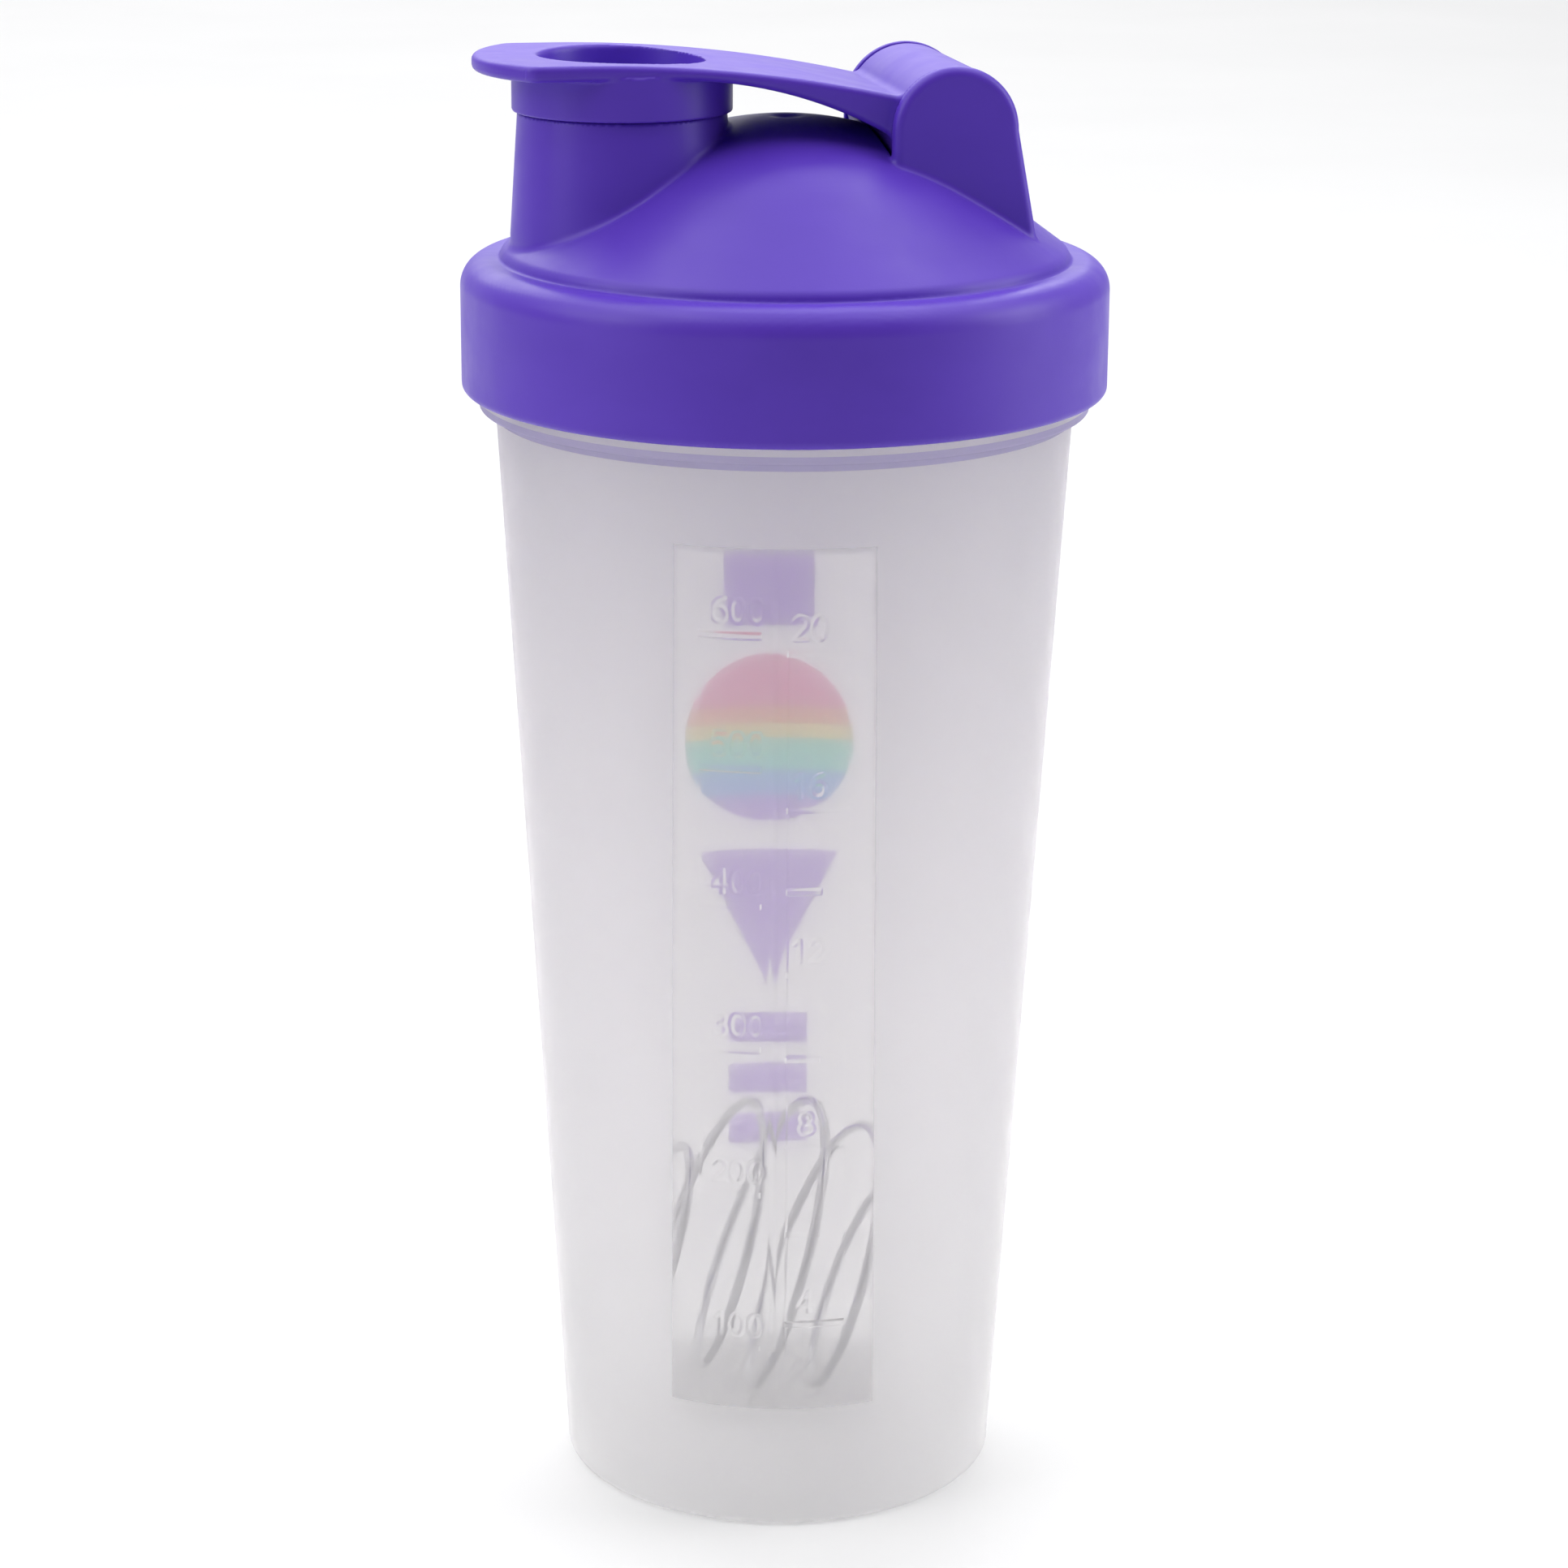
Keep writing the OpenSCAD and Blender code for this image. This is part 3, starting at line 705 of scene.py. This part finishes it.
def strip_half(z):
    """Half width of the polished strip along the wall."""
    share = (z - STRIP_LOW_Z) / (STRIP_HIGH_Z - STRIP_LOW_Z)
    return STRIP_FOOT_HALF + (STRIP_TOP_HALF - STRIP_FOOT_HALF) * share


def loop(x, y, rx, ry, start=0, end=360, count=18):
    """Points on an ellipse or a part of one."""
    return [(x + rx * math.cos(math.radians(a)), y + ry * math.sin(math.radians(a)))
            for a in np.linspace(start, end, count + 1)]


# Strokes of the digits, in a box one high with its lower left corner at the origin
DIGITS = {
    "0": [loop(0.29, 0.5, 0.27, 0.5)],
    "1": [[(0.12, 0.78), (0.34, 1.0), (0.34, 0.0)]],
    "2": [loop(0.29, 0.71, 0.27, 0.29, 165, -35, 12) + [(0.02, 0.0), (0.58, 0.0)]],
    "3": [loop(0.27, 0.74, 0.25, 0.26, 150, -85, 12), loop(0.27, 0.27, 0.29, 0.27, 85, -150, 12)],
    "4": [[(0.44, 0.0), (0.44, 1.0), (0.0, 0.3), (0.6, 0.3)]],
    "5": [[(0.54, 1.0), (0.1, 1.0), (0.05, 0.54)] + loop(0.27, 0.32, 0.29, 0.32, 130, -150, 12)],
    "6": [loop(0.29, 0.31, 0.28, 0.31), loop(0.5, 0.42, 0.49, 0.58, 180, 92, 8)],
    "8": [loop(0.29, 0.75, 0.23, 0.25), loop(0.29, 0.26, 0.28, 0.26)]}


def stroke_distance(strokes, u, v):
    """Distance from points (u, v) to the nearest stroke."""
    best = np.full(u.shape, 1e9)
    for stroke in strokes:
        for (ax, ay), (bx, by) in zip(stroke, stroke[1:]):
            ex, ey = bx - ax, by - ay
            t = np.clip(((u - ax) * ex + (v - ay) * ey) / (ex * ex + ey * ey), 0, 1)
            best = np.minimum(best, np.hypot(u - ax - t * ex, v - ay - t * ey))
    return best


def soft_box(u, low, high):
    """One between low and high, falling to zero across a soft edge inside them."""
    return np.clip(np.minimum(u - low, high - u) / SOFT, 0, 1)


def digit_row(text, right_edge):
    """Left edges of a number's digits, which ends at right_edge."""
    return [(digit, right_edge - DIGIT_STEP * (len(text) - i) + 0.5) for i, digit in enumerate(text)]


def digit_share(s, z):
    """One on the strokes of the scale's numbers and zero off them."""
    rise = np.zeros(s.shape)
    for low, text, right_edge in MARK_NUMBERS:
        for digit, left in digit_row(text, right_edge):
            base = low + DIGIT_RISE
            near = (np.abs(z - base - DIGIT_H / 2) < DIGIT_H) & (np.abs(s - left - DIGIT_W / 2) < DIGIT_W)
            u, v = (s[near] - left) / DIGIT_H, (z[near] - base) / DIGIT_H
            away = stroke_distance(DIGITS[digit], u, v) * DIGIT_H
            rise[near] = np.maximum(rise[near], np.clip((STROKE_HALF + SOFT / 2 - away) / SOFT, 0, 1))
    return rise


def mark_height(s, z):
    """How far the scale stands out of the strip, at s millimetres right of its middle."""
    rise = soft_box(s, -RIB_HALF, RIB_HALF) * soft_box(z, RIB_LOW_Z, RIB_HIGH_Z)
    rise = np.maximum(rise, 0.7 * soft_box(s, LINE_AT - LINE_HALF, LINE_AT + LINE_HALF)
                      * soft_box(z, RIB_LOW_Z, OZ_MARKS_TOP))
    for low, start, end in MARK_BARS:
        rise = np.maximum(rise, soft_box(s, start, end) * soft_box(z, low, low + MARK_T))
    return MARK_H * np.maximum(rise, DIGIT_SHARE * digit_share(s, z))


OZ_MARKS_TOP = max(OZ_MARKS) + MARK_T
MARK_BARS = [(z, -MARK_END, -MARK_GAP) for z in ML_MARKS] + [(z, MARK_GAP, MARK_END) for z in OZ_MARKS] \
    + [(z, MARK_GAP, HALF_MARK_END) for z in OZ_HALF_MARKS]
MARK_NUMBERS = [(z, text, -1.4) for z, text in ML_MARKS.items()] \
    + [(z, text, 5.0 + DIGIT_STEP * len(text) / 2) for z, text in OZ_MARKS.items()]


def neck_thread_height(angle, z):
    """How far the two thread ridges stand out of the neck."""
    turn = 216.0
    rise = np.zeros(np.broadcast(angle, z).shape)
    for start in (0, 180):
        along = (np.degrees(angle) - start) % 360
        ends = np.clip((np.minimum(along, turn - along) / 10 + 0.3) / 3, 0, 1)
        off = np.abs(z - THREAD_START_Z - THREAD_LEAD * along / 360)
        ridge = THREAD_DEPTH * np.clip((1.057 - off) / 0.457, 0, 1) * ends
        rise = np.maximum(rise, np.where(along <= turn, ridge, 0))
    return rise


def wall_rows():
    """Heights of the rows on the outer wall: close together over the digits and at each mark's edges."""
    edges = {1.5, STRIP_LOW_Z, STRIP_HIGH_Z, WALL_TOP_Z}
    for low, _, _ in MARK_BARS:
        edges |= {low, low + SOFT, low + MARK_T - SOFT, low + MARK_T}
    edges |= {RIB_LOW_Z + SOFT, RIB_HIGH_Z - SOFT, RIB_HIGH_Z, OZ_MARKS_TOP}
    zones = [(low + DIGIT_RISE - 0.4, low + DIGIT_RISE + DIGIT_H + 0.4) for low, _, _ in MARK_NUMBERS]
    for low, high in zones:
        edges |= set(np.round(np.arange(low, high + 0.01, 0.22), 3))
    edges = sorted(edges)
    rows = [edges[0]]
    for z in edges[1:]:
        gap = z - rows[-1]
        if gap < 0.07:
            continue
        if gap > 3:
            rows += list(np.linspace(rows[-1], z, math.ceil(gap / 3) + 1))[1:]
        else:
            rows.append(z)
    return rows


def wall_columns():
    """Column places: millimetres along the strip up to its fine part, then shares out to the back."""
    fine = set(np.round(np.arange(-9.4, -1.3, 0.22), 3)) | set(np.round(np.arange(2.4, 8.4, 0.22), 3))
    for at, half in ((0, RIB_HALF), (LINE_AT, LINE_HALF)):
        fine |= {at - half, at - half + SOFT, at + half - SOFT, at + half}
    fine |= {-FINE_STRIP, -MARK_END, SOFT - MARK_END, -MARK_GAP, 0.0, MARK_GAP, HALF_MARK_END - SOFT,
             HALF_MARK_END, MARK_END - SOFT, MARK_END, FINE_STRIP, -10.3, 9.5, 10.4}
    kept = []
    for s in sorted(fine):
        if not kept or s - kept[-1] > 0.05:
            kept.append(s)
    return np.array(kept)


def cup_columns():
    """Each column as (millimetres, share of the strip's edge, share of the back)."""
    fine = [(s, 0.0, 0.0) for s in wall_columns()]
    right = [(FINE_STRIP, share, 0.0) for share in (0.5, 1.0)] \
        + [(FINE_STRIP, 1.0, share) for share in np.linspace(0, 1, 65)[1:]]
    left = [(-s, -a, -b) for s, a, b in right[:-1]]
    return np.array(left[::-1] + fine + right)


def cup_angles(z, columns):
    """Direction of each column at height z, seen from the strip's middle."""
    radius, half = wall_r(z), strip_half(z)
    reach = columns[:, 0] + columns[:, 1] * (half - FINE_STRIP)
    edge = half / radius
    return reach / radius + columns[:, 2] * (math.pi - edge)


def cup_section():
    """The cup's closed section as (radius, height, zone), from the foot's middle round to the floor's."""
    foot_in, taper_in = FOOT_R - 2.6, 3.0
    inner_r = wall_r(FLOOR_Z) - WALL
    neck_in = WALL_TOP_R - WALL
    def zone(points, name):
        return [(r, z, name) for r, z in points]
    foot = [(r, FOOT_HOLLOW) for r in (0.0, 4.0, 12.0, 20.0, 26.0, foot_in - 3)] \
        + arc((foot_in - 2.2, FOOT_HOLLOW - 0.6), 0.6, 90, 20, 4) \
        + [(foot_in - 0.9, 2.0), (foot_in, 0.6)] + arc((foot_in + 0.6, 0.5), 0.5, 215, 270, 3) \
        + [(foot_in + 1.3, 0.0)] + arc((wall_r(1.5) - 1.5, 1.5), 1.5, -88, -8, 8)
    wall = [(wall_r(z) - INK_GAP, z) for z in wall_rows()]
    collar = [(WALL_TOP_R + 0.15, WALL_TOP_Z + 0.12), (COLLAR_R - 1.1, WALL_TOP_Z + 1.15)] \
        + arc((COLLAR_R - 0.5, WALL_TOP_Z + 1.9), 0.5, -50, 0, 3) + [(COLLAR_R, COLLAR_BAND_Z)] \
        + arc((COLLAR_R - 0.4, COLLAR_Z - 0.4), 0.4, 0, 90, 4) \
        + [(NECK_R + 0.4, COLLAR_Z)] + arc((NECK_R + 0.4, COLLAR_Z + 0.4), 0.4, 265, 185, 3)
    neck = [(NECK_R, z) for z in np.arange(COLLAR_Z + 0.7, RIM_Z - 1.2, 0.32)]
    rim = arc((NECK_R - 0.8, RIM_Z - 0.8), 0.8, 0, 90, 5) + arc((neck_in + 0.8, RIM_Z - 0.8), 0.8, 95, 180, 5)
    inside = [(neck_in, z) for z in (185.0, 180.0, 175.0, WALL_TOP_Z)] \
        + [(wall_r(z) - WALL, z) for z in np.linspace(WALL_TOP_Z, FLOOR_Z + taper_in, 40)[1:]]
    floor = arc((inner_r - taper_in, FLOOR_Z + taper_in), taper_in, -8, -90, 8) \
        + [(r, FLOOR_Z - 0.12 * (1 - r / inner_r)) for r in (26.0, 20.0, 12.0, 4.0, 0.0)]
    return zone(foot, "foot") + zone(wall, "wall") + zone(collar, "collar") + zone(neck, "neck") \
        + zone(rim, "rim") + zone(inside, "inside") + zone(floor, "floor")


def broad_normals(mesh):
    """Shade each vertex by its widest faces, so that a mark's edge doesn't bend the flat wall beside it."""
    points = np.array([v.co for v in mesh.vertices])
    total = np.zeros_like(points)
    for polygon_sides in (3, 4):
        faces = np.array([p.vertices for p in mesh.polygons if len(p.vertices) == polygon_sides])
        if len(faces):
            a, b, c, d = points[faces[:, 0]], points[faces[:, 1]], points[faces[:, 2]], points[faces[:, -1]]
            normal = np.cross(c - a, d - b)
            normal *= np.linalg.norm(normal, axis=1)[:, None]
            for corner in faces.T:
                np.add.at(total, corner, normal)
    total /= np.clip(np.linalg.norm(total, axis=1), 1e-30, None)[:, None]
    mesh.normals_split_custom_set_from_vertices(total.tolist())


def cup_wall():
    """The cup as one closed shell; the thread and the scale are part of its outer surface."""
    section, columns = cup_section(), cup_columns()
    radii = np.array([r for r, _, _ in section])
    heights = np.array([z for _, z, _ in section])
    zones = np.array([name for _, _, name in section])
    angles = np.stack([cup_angles(z, columns) for z in heights])
    lift = np.zeros(angles.shape)
    on_wall = zones == "wall"
    along = angles[on_wall] * wall_r(heights[on_wall])[:, None]
    lift[on_wall] = mark_height(along, heights[on_wall][:, None] + 0 * along)
    on_neck = zones == "neck"
    lift[on_neck] = neck_thread_height(angles[on_neck] + STRIP_TURN, heights[on_neck][:, None])
    spun = radii[:, None] + lift
    turn = angles + STRIP_TURN
    points = np.stack([spun * np.cos(turn), spun * np.sin(turn), heights[:, None] + 0 * turn], -1)
    rows, count = turn.shape
    grid = np.arange(rows * count).reshape(rows, count)
    near, far = grid[1:-2], grid[2:-1]
    quads = np.stack([near, np.roll(near, -1, 1), np.roll(far, -1, 1), far], -1)
    foot_pole, floor_pole = grid[0, 0], grid[-1, 0]
    foot_fan = np.stack([np.roll(grid[1], -1), grid[1], np.full(count, foot_pole)], 1)
    floor_fan = np.stack([grid[-2], np.roll(grid[-2], -1), np.full(count, floor_pole)], 1)
    shares = (np.abs(columns[:, 1]) + np.abs(columns[:, 2])) * np.sign(columns[:, 1] + columns[:, 2])
    next_share = np.roll(shares, -1)
    middle = (np.abs(shares) <= 1) & (np.abs(next_share) <= 1)
    row_zone, row_z = zones[1:-2], heights[1:-2]
    polished = (row_zone == "wall") & (row_z >= STRIP_LOW_Z - 0.01) & (row_z < STRIP_HIGH_Z - 0.01)
    inner = np.isin(row_zone, ("rim", "inside", "floor"))
    behind = (row_zone == "inside") & (row_z > STRIP_LOW_Z) & (row_z < STRIP_HIGH_Z + WALL)
    kind = np.where(inner[:, None], np.where(behind[:, None] & middle[None], 3, 1),
                    np.where(polished[:, None] & middle[None], 2, 0))
    # painted reflection: the collar's lower band is coloured lilac to stand in for the purple lid reflected in
    # it
    kind[(row_zone == "collar") & (row_z < COLLAR_BAND_Z - 0.01)] = 4
    kind = np.concatenate([kind.ravel(), np.zeros(count, int), np.ones(count, int)])
    used = np.concatenate([[foot_pole], grid[1:-1].ravel(), [floor_pole]])
    renumber = np.full(rows * count, -1)
    renumber[used] = np.arange(len(used))
    faces = [renumber[quads.reshape(-1, 4)], renumber[np.concatenate([foot_fan, floor_fan])]]
    # each look's second colour is painted shade towards the top of the wall
    looks = [frosted_outside("frosted_polypropylene", (0.985, 0.98, 0.98), (0.885, 0.87, 0.885)),
             smooth_inside("milky_inside", 0.45, 0.75, (0.905, 0.89, 0.9)), polished_strip(),
             smooth_inside("clear_inside", 0.12, 0.95, (0.92, 0.9, 0.915)),
             # lilac colour of the collar's lower band: painted reflection of the purple lid
             frosted_outside("painted_lid_reflection_collar", (0.66, 0.62, 0.84), (0.6, 0.56, 0.8))]
    piece = make_piece("cup_wall", points.reshape(-1, 3)[used], faces, "cup", looks,
                       ["cup"], kind)
    broad_normals(piece.data)


# ============ print
BLOCK_Z, BLOCK_HALF_W = (126.2, 138.7), 7.6
DISC_R, DISC_Z = 14.2, 107.2
STRIPE_Z = (112.5, 109.7, 107.2, 101.8, 97.5)
WEDGE_Z, WEDGE_HALF_W = (64.7, 88.2), 11.8
BAR_Z, BAR_H, BAR_HALF_W = (37.0, 45.8, 54.6), 5.2, 6.7
INK_OUT, INK_IN = 0.10, 0.01
MIN_HALF = 0.05


def band(low, high, half_width, step=0.25):
    """Rows (height, half width) of a flat shape that is symmetrical about the print's middle."""
    count = max(2, math.ceil((high - low) / step) + 1)
    return [(z, max(half_width(z), MIN_HALF)) for z in np.linspace(low, high, count)]


def wedge_half(z):
    """Half width of the wedge, from its point up to its flat top."""
    return WEDGE_HALF_W * (z - WEDGE_Z[0]) / (WEDGE_Z[1] - WEDGE_Z[0])


def disc_band(low, high):
    """A stripe of the disc, with rows closer together where its edge turns in."""
    first, last = (math.asin(np.clip((z - DISC_Z) / DISC_R, -1, 1)) for z in (low, high))
    return [(DISC_Z + DISC_R * math.sin(t), max(DISC_R * math.cos(t), MIN_HALF))
            for t in np.linspace(first, last, 40)]


def ink_piece(name, bands, colour, node):
    """One colour of the print, as thin closed skins on the cup's far wall."""
    across = np.linspace(-1, 1, 25)
    points, quads = [], []
    total = 0
    for rows in bands:
        z = np.array([row[0] for row in rows])[:, None] + 0 * across
        x = np.array([row[1] for row in rows])[:, None] * across
        skins = []
        for rise in (INK_OUT, INK_IN):
            r = wall_r(z) + rise
            y = np.sqrt(r * r - x * x)
            along = PRINT_TURN - math.pi / 2
            skins.append(np.stack([x * math.cos(along) - y * math.sin(along),
                                   x * math.sin(along) + y * math.cos(along), z], -1))
        height, width = z.shape
        outer = total + np.arange(height * width).reshape(height, width)
        inner = outer + height * width
        total += 2 * height * width
        points += [skin.reshape(-1, 3) for skin in skins]
        for grid, turned in ((outer, True), (inner, False)):
            quad = np.stack([grid[:-1, :-1], grid[:-1, 1:], grid[1:, 1:], grid[1:, :-1]], -1).reshape(-1, 4)
            quads.append(quad[:, ::-1] if turned else quad)
        rim_out = np.concatenate([outer[0], outer[1:, -1], outer[-1, -2::-1], outer[-2:0:-1, 0]])
        rim_in = np.concatenate([inner[0], inner[1:, -1], inner[-1, -2::-1], inner[-2:0:-1, 0]])
        quads.append(np.stack([rim_out, np.roll(rim_out, -1), np.roll(rim_in, -1), rim_in], -1))
    make_piece(name, np.concatenate(points), [np.concatenate(quads)], "cup",
               [ink(node + "_look", colour)], [node])


def printed_design():
    """A block, a disc in six stripes, a wedge and three bars, one under the other."""
    block = band(*BLOCK_Z, lambda z: BLOCK_HALF_W, 1.0)
    wedge = band(*WEDGE_Z, wedge_half, 0.5)
    bars = [band(z, z + BAR_H, lambda z: BAR_HALF_W, 1.0) for z in BAR_Z]
    low, high = DISC_Z - DISC_R, DISC_Z + DISC_R
    lavender = [block, wedge, disc_band(low, STRIPE_Z[4])] + bars
    ink_piece("print_lavender", lavender, (0.60, 0.42, 0.84), "ink_lavender")
    ink_piece("print_pink", [disc_band(STRIPE_Z[0], high)], (0.96, 0.38, 0.58), "ink_pink")
    ink_piece("print_orange", [disc_band(STRIPE_Z[1], STRIPE_Z[0])], (0.98, 0.55, 0.34), "ink_orange")
    ink_piece("print_yellow", [disc_band(STRIPE_Z[2], STRIPE_Z[1])], (0.98, 0.82, 0.40), "ink_yellow")
    ink_piece("print_teal", [disc_band(STRIPE_Z[3], STRIPE_Z[2])], (0.34, 0.82, 0.70), "ink_teal")
    ink_piece("print_blue", [disc_band(STRIPE_Z[4], STRIPE_Z[3])], (0.34, 0.60, 0.95), "ink_blue")


# ============ seal ring and whisk ball
def lathe(outline, count=180):
    """Points and quads of a closed ring turned about Z."""
    turn = np.linspace(0, 2 * math.pi, count, endpoint=False)
    r, z = np.array(outline, float).T
    points = np.stack([r[:, None] * np.cos(turn), r[:, None] * np.sin(turn), z[:, None] + 0 * turn], -1)
    grid = np.arange(len(r) * count).reshape(len(r), count)
    below = np.roll(grid, -1, 0)
    quads = np.stack([grid, np.roll(grid, -1, 1), np.roll(below, -1, 1), below], -1)
    return points.reshape(-1, 3), quads.reshape(-1, 4)


def seal_ring():
    """Flat silicone ring with rounded edges and a shallow groove on each face."""
    low, high = box_mm("seal_ring")
    outer, inner, base, top = high[0], SEAL_IN_R, low[2], high[2]
    edge, groove = 0.45, 0.18
    middle = (outer + inner) / 2
    steps = ((0.5, 0), (0.25, groove), (-0.25, groove), (-0.5, 0))
    outline = arc((outer - edge, base + edge), edge, -90, 0, 5) \
        + arc((outer - edge, top - edge), edge, 0, 90, 5) \
        + [(middle + across, top - depth) for across, depth in steps] \
        + arc((inner + edge, top - edge), edge, 90, 180, 5) \
        + arc((inner + edge, base + edge), edge, 180, 270, 5) \
        + [(middle - across, base + depth) for across, depth in steps]
    points, quads = lathe(outline)
    make_piece("silicone_ring", points, [quads], "seal_ring", [silicone()], ["seal_ring"])


def wire_path(h):
    """The wound wire's centre line at distances h along the spiral's axis, slightly hand-formed."""
    rho = np.sqrt(np.clip((BALL_R - WIRE_D / 2) ** 2 - h * h, 0, None))
    turn = BALL_PHASE + 2 * math.pi * h / WIRE_PITCH
    rho = rho * (1 - 0.006 * (1 + np.sin(1.7 * turn + 0.4)))
    path = np.stack([h + 0.25 * np.sin(0.63 * turn), -rho * np.sin(turn), rho * np.cos(turn)], -1)
    tilt, swing = Matrix.Rotation(BALL_TILT, 3, "Y"), Matrix.Rotation(BALL_TURN, 3, "Z")
    return path @ np.array(swing @ tilt).T + BALL_CENTRE


def whisk_ball():
    """The whisk ball: one wire in a spiral on a sphere, with rounded ends."""
    reach = (BALL_R - WIRE_D / 2) * 0.985
    sides, wire_r = 16, WIRE_D / 2
    h = np.linspace(-reach, reach, 4000)
    path = wire_path(h)
    length = np.concatenate([[0], np.cumsum(np.linalg.norm(np.diff(path, axis=0), axis=1))])
    even = np.linspace(0, length[-1], round(length[-1] / 0.9))
    path = wire_path(np.interp(even, length, h))
    tangent = np.gradient(path, axis=0)
    tangent /= np.linalg.norm(tangent, axis=1)[:, None]
    out = path - BALL_CENTRE
    out -= (out * tangent).sum(1)[:, None] * tangent
    out /= np.linalg.norm(out, axis=1)[:, None]
    across = np.cross(tangent, out)
    caps = [(wire_r * math.cos(a), wire_r * math.sin(a)) for a in np.radians((8, 35, 65))]
    rings = [(path[0] - tangent[0] * back, out[0], across[0], small) for back, small in caps]
    rings += [(path[i], out[i], across[i], wire_r) for i in range(len(path))]
    rings += [(path[-1] + tangent[-1] * back, out[-1], across[-1], small) for back, small in caps[::-1]]
    turn = np.linspace(0, 2 * math.pi, sides, endpoint=False)
    points = np.concatenate([centre + radius * (np.cos(turn)[:, None] * u + np.sin(turn)[:, None] * v)
                             for centre, u, v, radius in rings])
    grid = np.arange(len(rings) * sides).reshape(len(rings), sides)
    near, far = grid[:-1], grid[1:]
    quads = np.stack([near, np.roll(near, -1, 1), np.roll(far, -1, 1), far], -1).reshape(-1, 4)
    ends = np.array([grid[0, ::-1], grid[-1]])
    make_piece("wire_ball", points, [quads, ends], "whisk_ball", [steel_wire()],
               ["whisk_ball"])


# ============ studio
def floor():
    """A plain pale floor, faintly lit from below as a shooting table is."""
    made, shader = material("studio_floor", (0.57, 0.57, 0.575), 0.6, Emission_Strength=0.25)
    tint(made, spread(made, noise(made, 6, 3), 0, 1), (0.56, 0.56, 0.565), (0.58, 0.58, 0.585),
         shader.inputs["Base Color"])
    reach = 6.0
    corners = [(-reach, -reach, 0), (reach, -reach, 0), (reach, reach, 0), (-reach, reach, 0)]
    mesh = bpy.data.meshes.new("studio_floor")
    mesh.from_pydata(corners, [], [(0, 1, 2, 3)])
    mesh.materials.append(made)
    plane = bpy.data.objects.new("studio_floor", mesh)
    bpy.context.scene.collection.objects.link(plane)


def soft_box_light(name, place, target, size, power):
    """A rectangular soft light that faces a point."""
    data = bpy.data.lights.new(name, "AREA")
    data.shape = "RECTANGLE"
    data.size, data.size_y = size
    data.energy = power
    light = bpy.data.objects.new(name, data)
    bpy.context.scene.collection.objects.link(light)
    light.location = place
    light.rotation_euler = (Vector(target) - Vector(place)).to_track_quat("-Z", "Y").to_euler()


def surroundings():
    """A white sweep behind and overhead that darkens towards the front, where the camera stands."""
    world = bpy.data.worlds.new("studio")
    bpy.context.scene.world = world
    world.use_nodes = True
    nodes, links = world.node_tree.nodes, world.node_tree.links
    place = nodes.new("ShaderNodeTexCoord")
    parts = nodes.new("ShaderNodeSeparateXYZ")
    ramp = nodes.new("ShaderNodeMapRange")
    ramp.interpolation_type = "SMOOTHSTEP"
    for socket, value in (("From Min", 0.2), ("From Max", 0.95), ("To Min", 0.1), ("To Max", 0.68)):
        ramp.inputs[socket].default_value = value
    nodes["Background"].inputs["Color"].default_value = (0.98, 0.985, 1.0, 1)
    links.new(place.outputs["Generated"], parts.inputs["Vector"])
    links.new(parts.outputs["Y"], ramp.inputs["Value"])
    links.new(ramp.outputs["Result"], nodes["Background"].inputs["Strength"])


def studio():
    """Soft boxes at both sides and above, and a broad light on the sweep behind."""
    floor()
    surroundings()
    middle = (0, 0, 0.13)
    soft_box_light("left_box", (-0.91, -0.24, 0.47), middle, (0.45, 0.7), 1.35)
    soft_box_light("right_box", (0.94, -0.18, 0.45), middle, (0.55, 0.75), 3.9)
    soft_box_light("top_box", (0, 0, 1.4), middle, (1.4, 1.4), 8.3)
    soft_box_light("left_top_box", (-1.0, 0, 1.2), middle, (1.0, 1.4), 10.6)
    soft_box_light("right_top_box", (1.0, 0, 1.2), middle, (1.0, 1.4), 7.9)
    soft_box_light("sweep", (0, 2.3, 2.0), (0, 1.3, 0), (3.2, 3.0), 66.0)
    bpy.context.scene.view_settings.view_transform = "Standard"


def camera():
    """The photograph's viewing angle: 11.5 degrees round from the front and 16.4 degrees down."""
    swing, pitch, roll = math.radians(11.5), math.radians(16.424), math.radians(0.376)
    ahead = Vector((math.sin(swing) * math.cos(pitch), math.cos(swing) * math.cos(pitch), -math.sin(pitch)))
    right = ahead.cross(Vector((0, 0, 1))).normalized()
    up = right.cross(ahead)
    right, up = math.cos(roll) * right + math.sin(roll) * up, math.cos(roll) * up - math.sin(roll) * right
    data = bpy.data.cameras.new("camera")
    data.sensor_width, data.lens = 36.0, 94.97
    data.clip_start, data.clip_end = 0.01, 50
    view = bpy.data.objects.new("camera", data)
    bpy.context.scene.collection.objects.link(view)
    turn = Matrix((right, up, -ahead)).transposed().to_4x4()
    view.matrix_world = Matrix.Translation((-0.12357, -0.60907, 0.2940)) @ turn
    bpy.context.scene.camera = view


# ============ the model
camera()
studio()
PURPLE = purple_plastic()
cup_wall()
printed_design()
seal_ring()
whisk_ball()
field_piece("lid_shell", lid_field, "lid", 0.42, PURPLE, "lid")
field_piece("flip_arm", cap_field, "flip_cap", 0.38, PURPLE, "flip_cap")
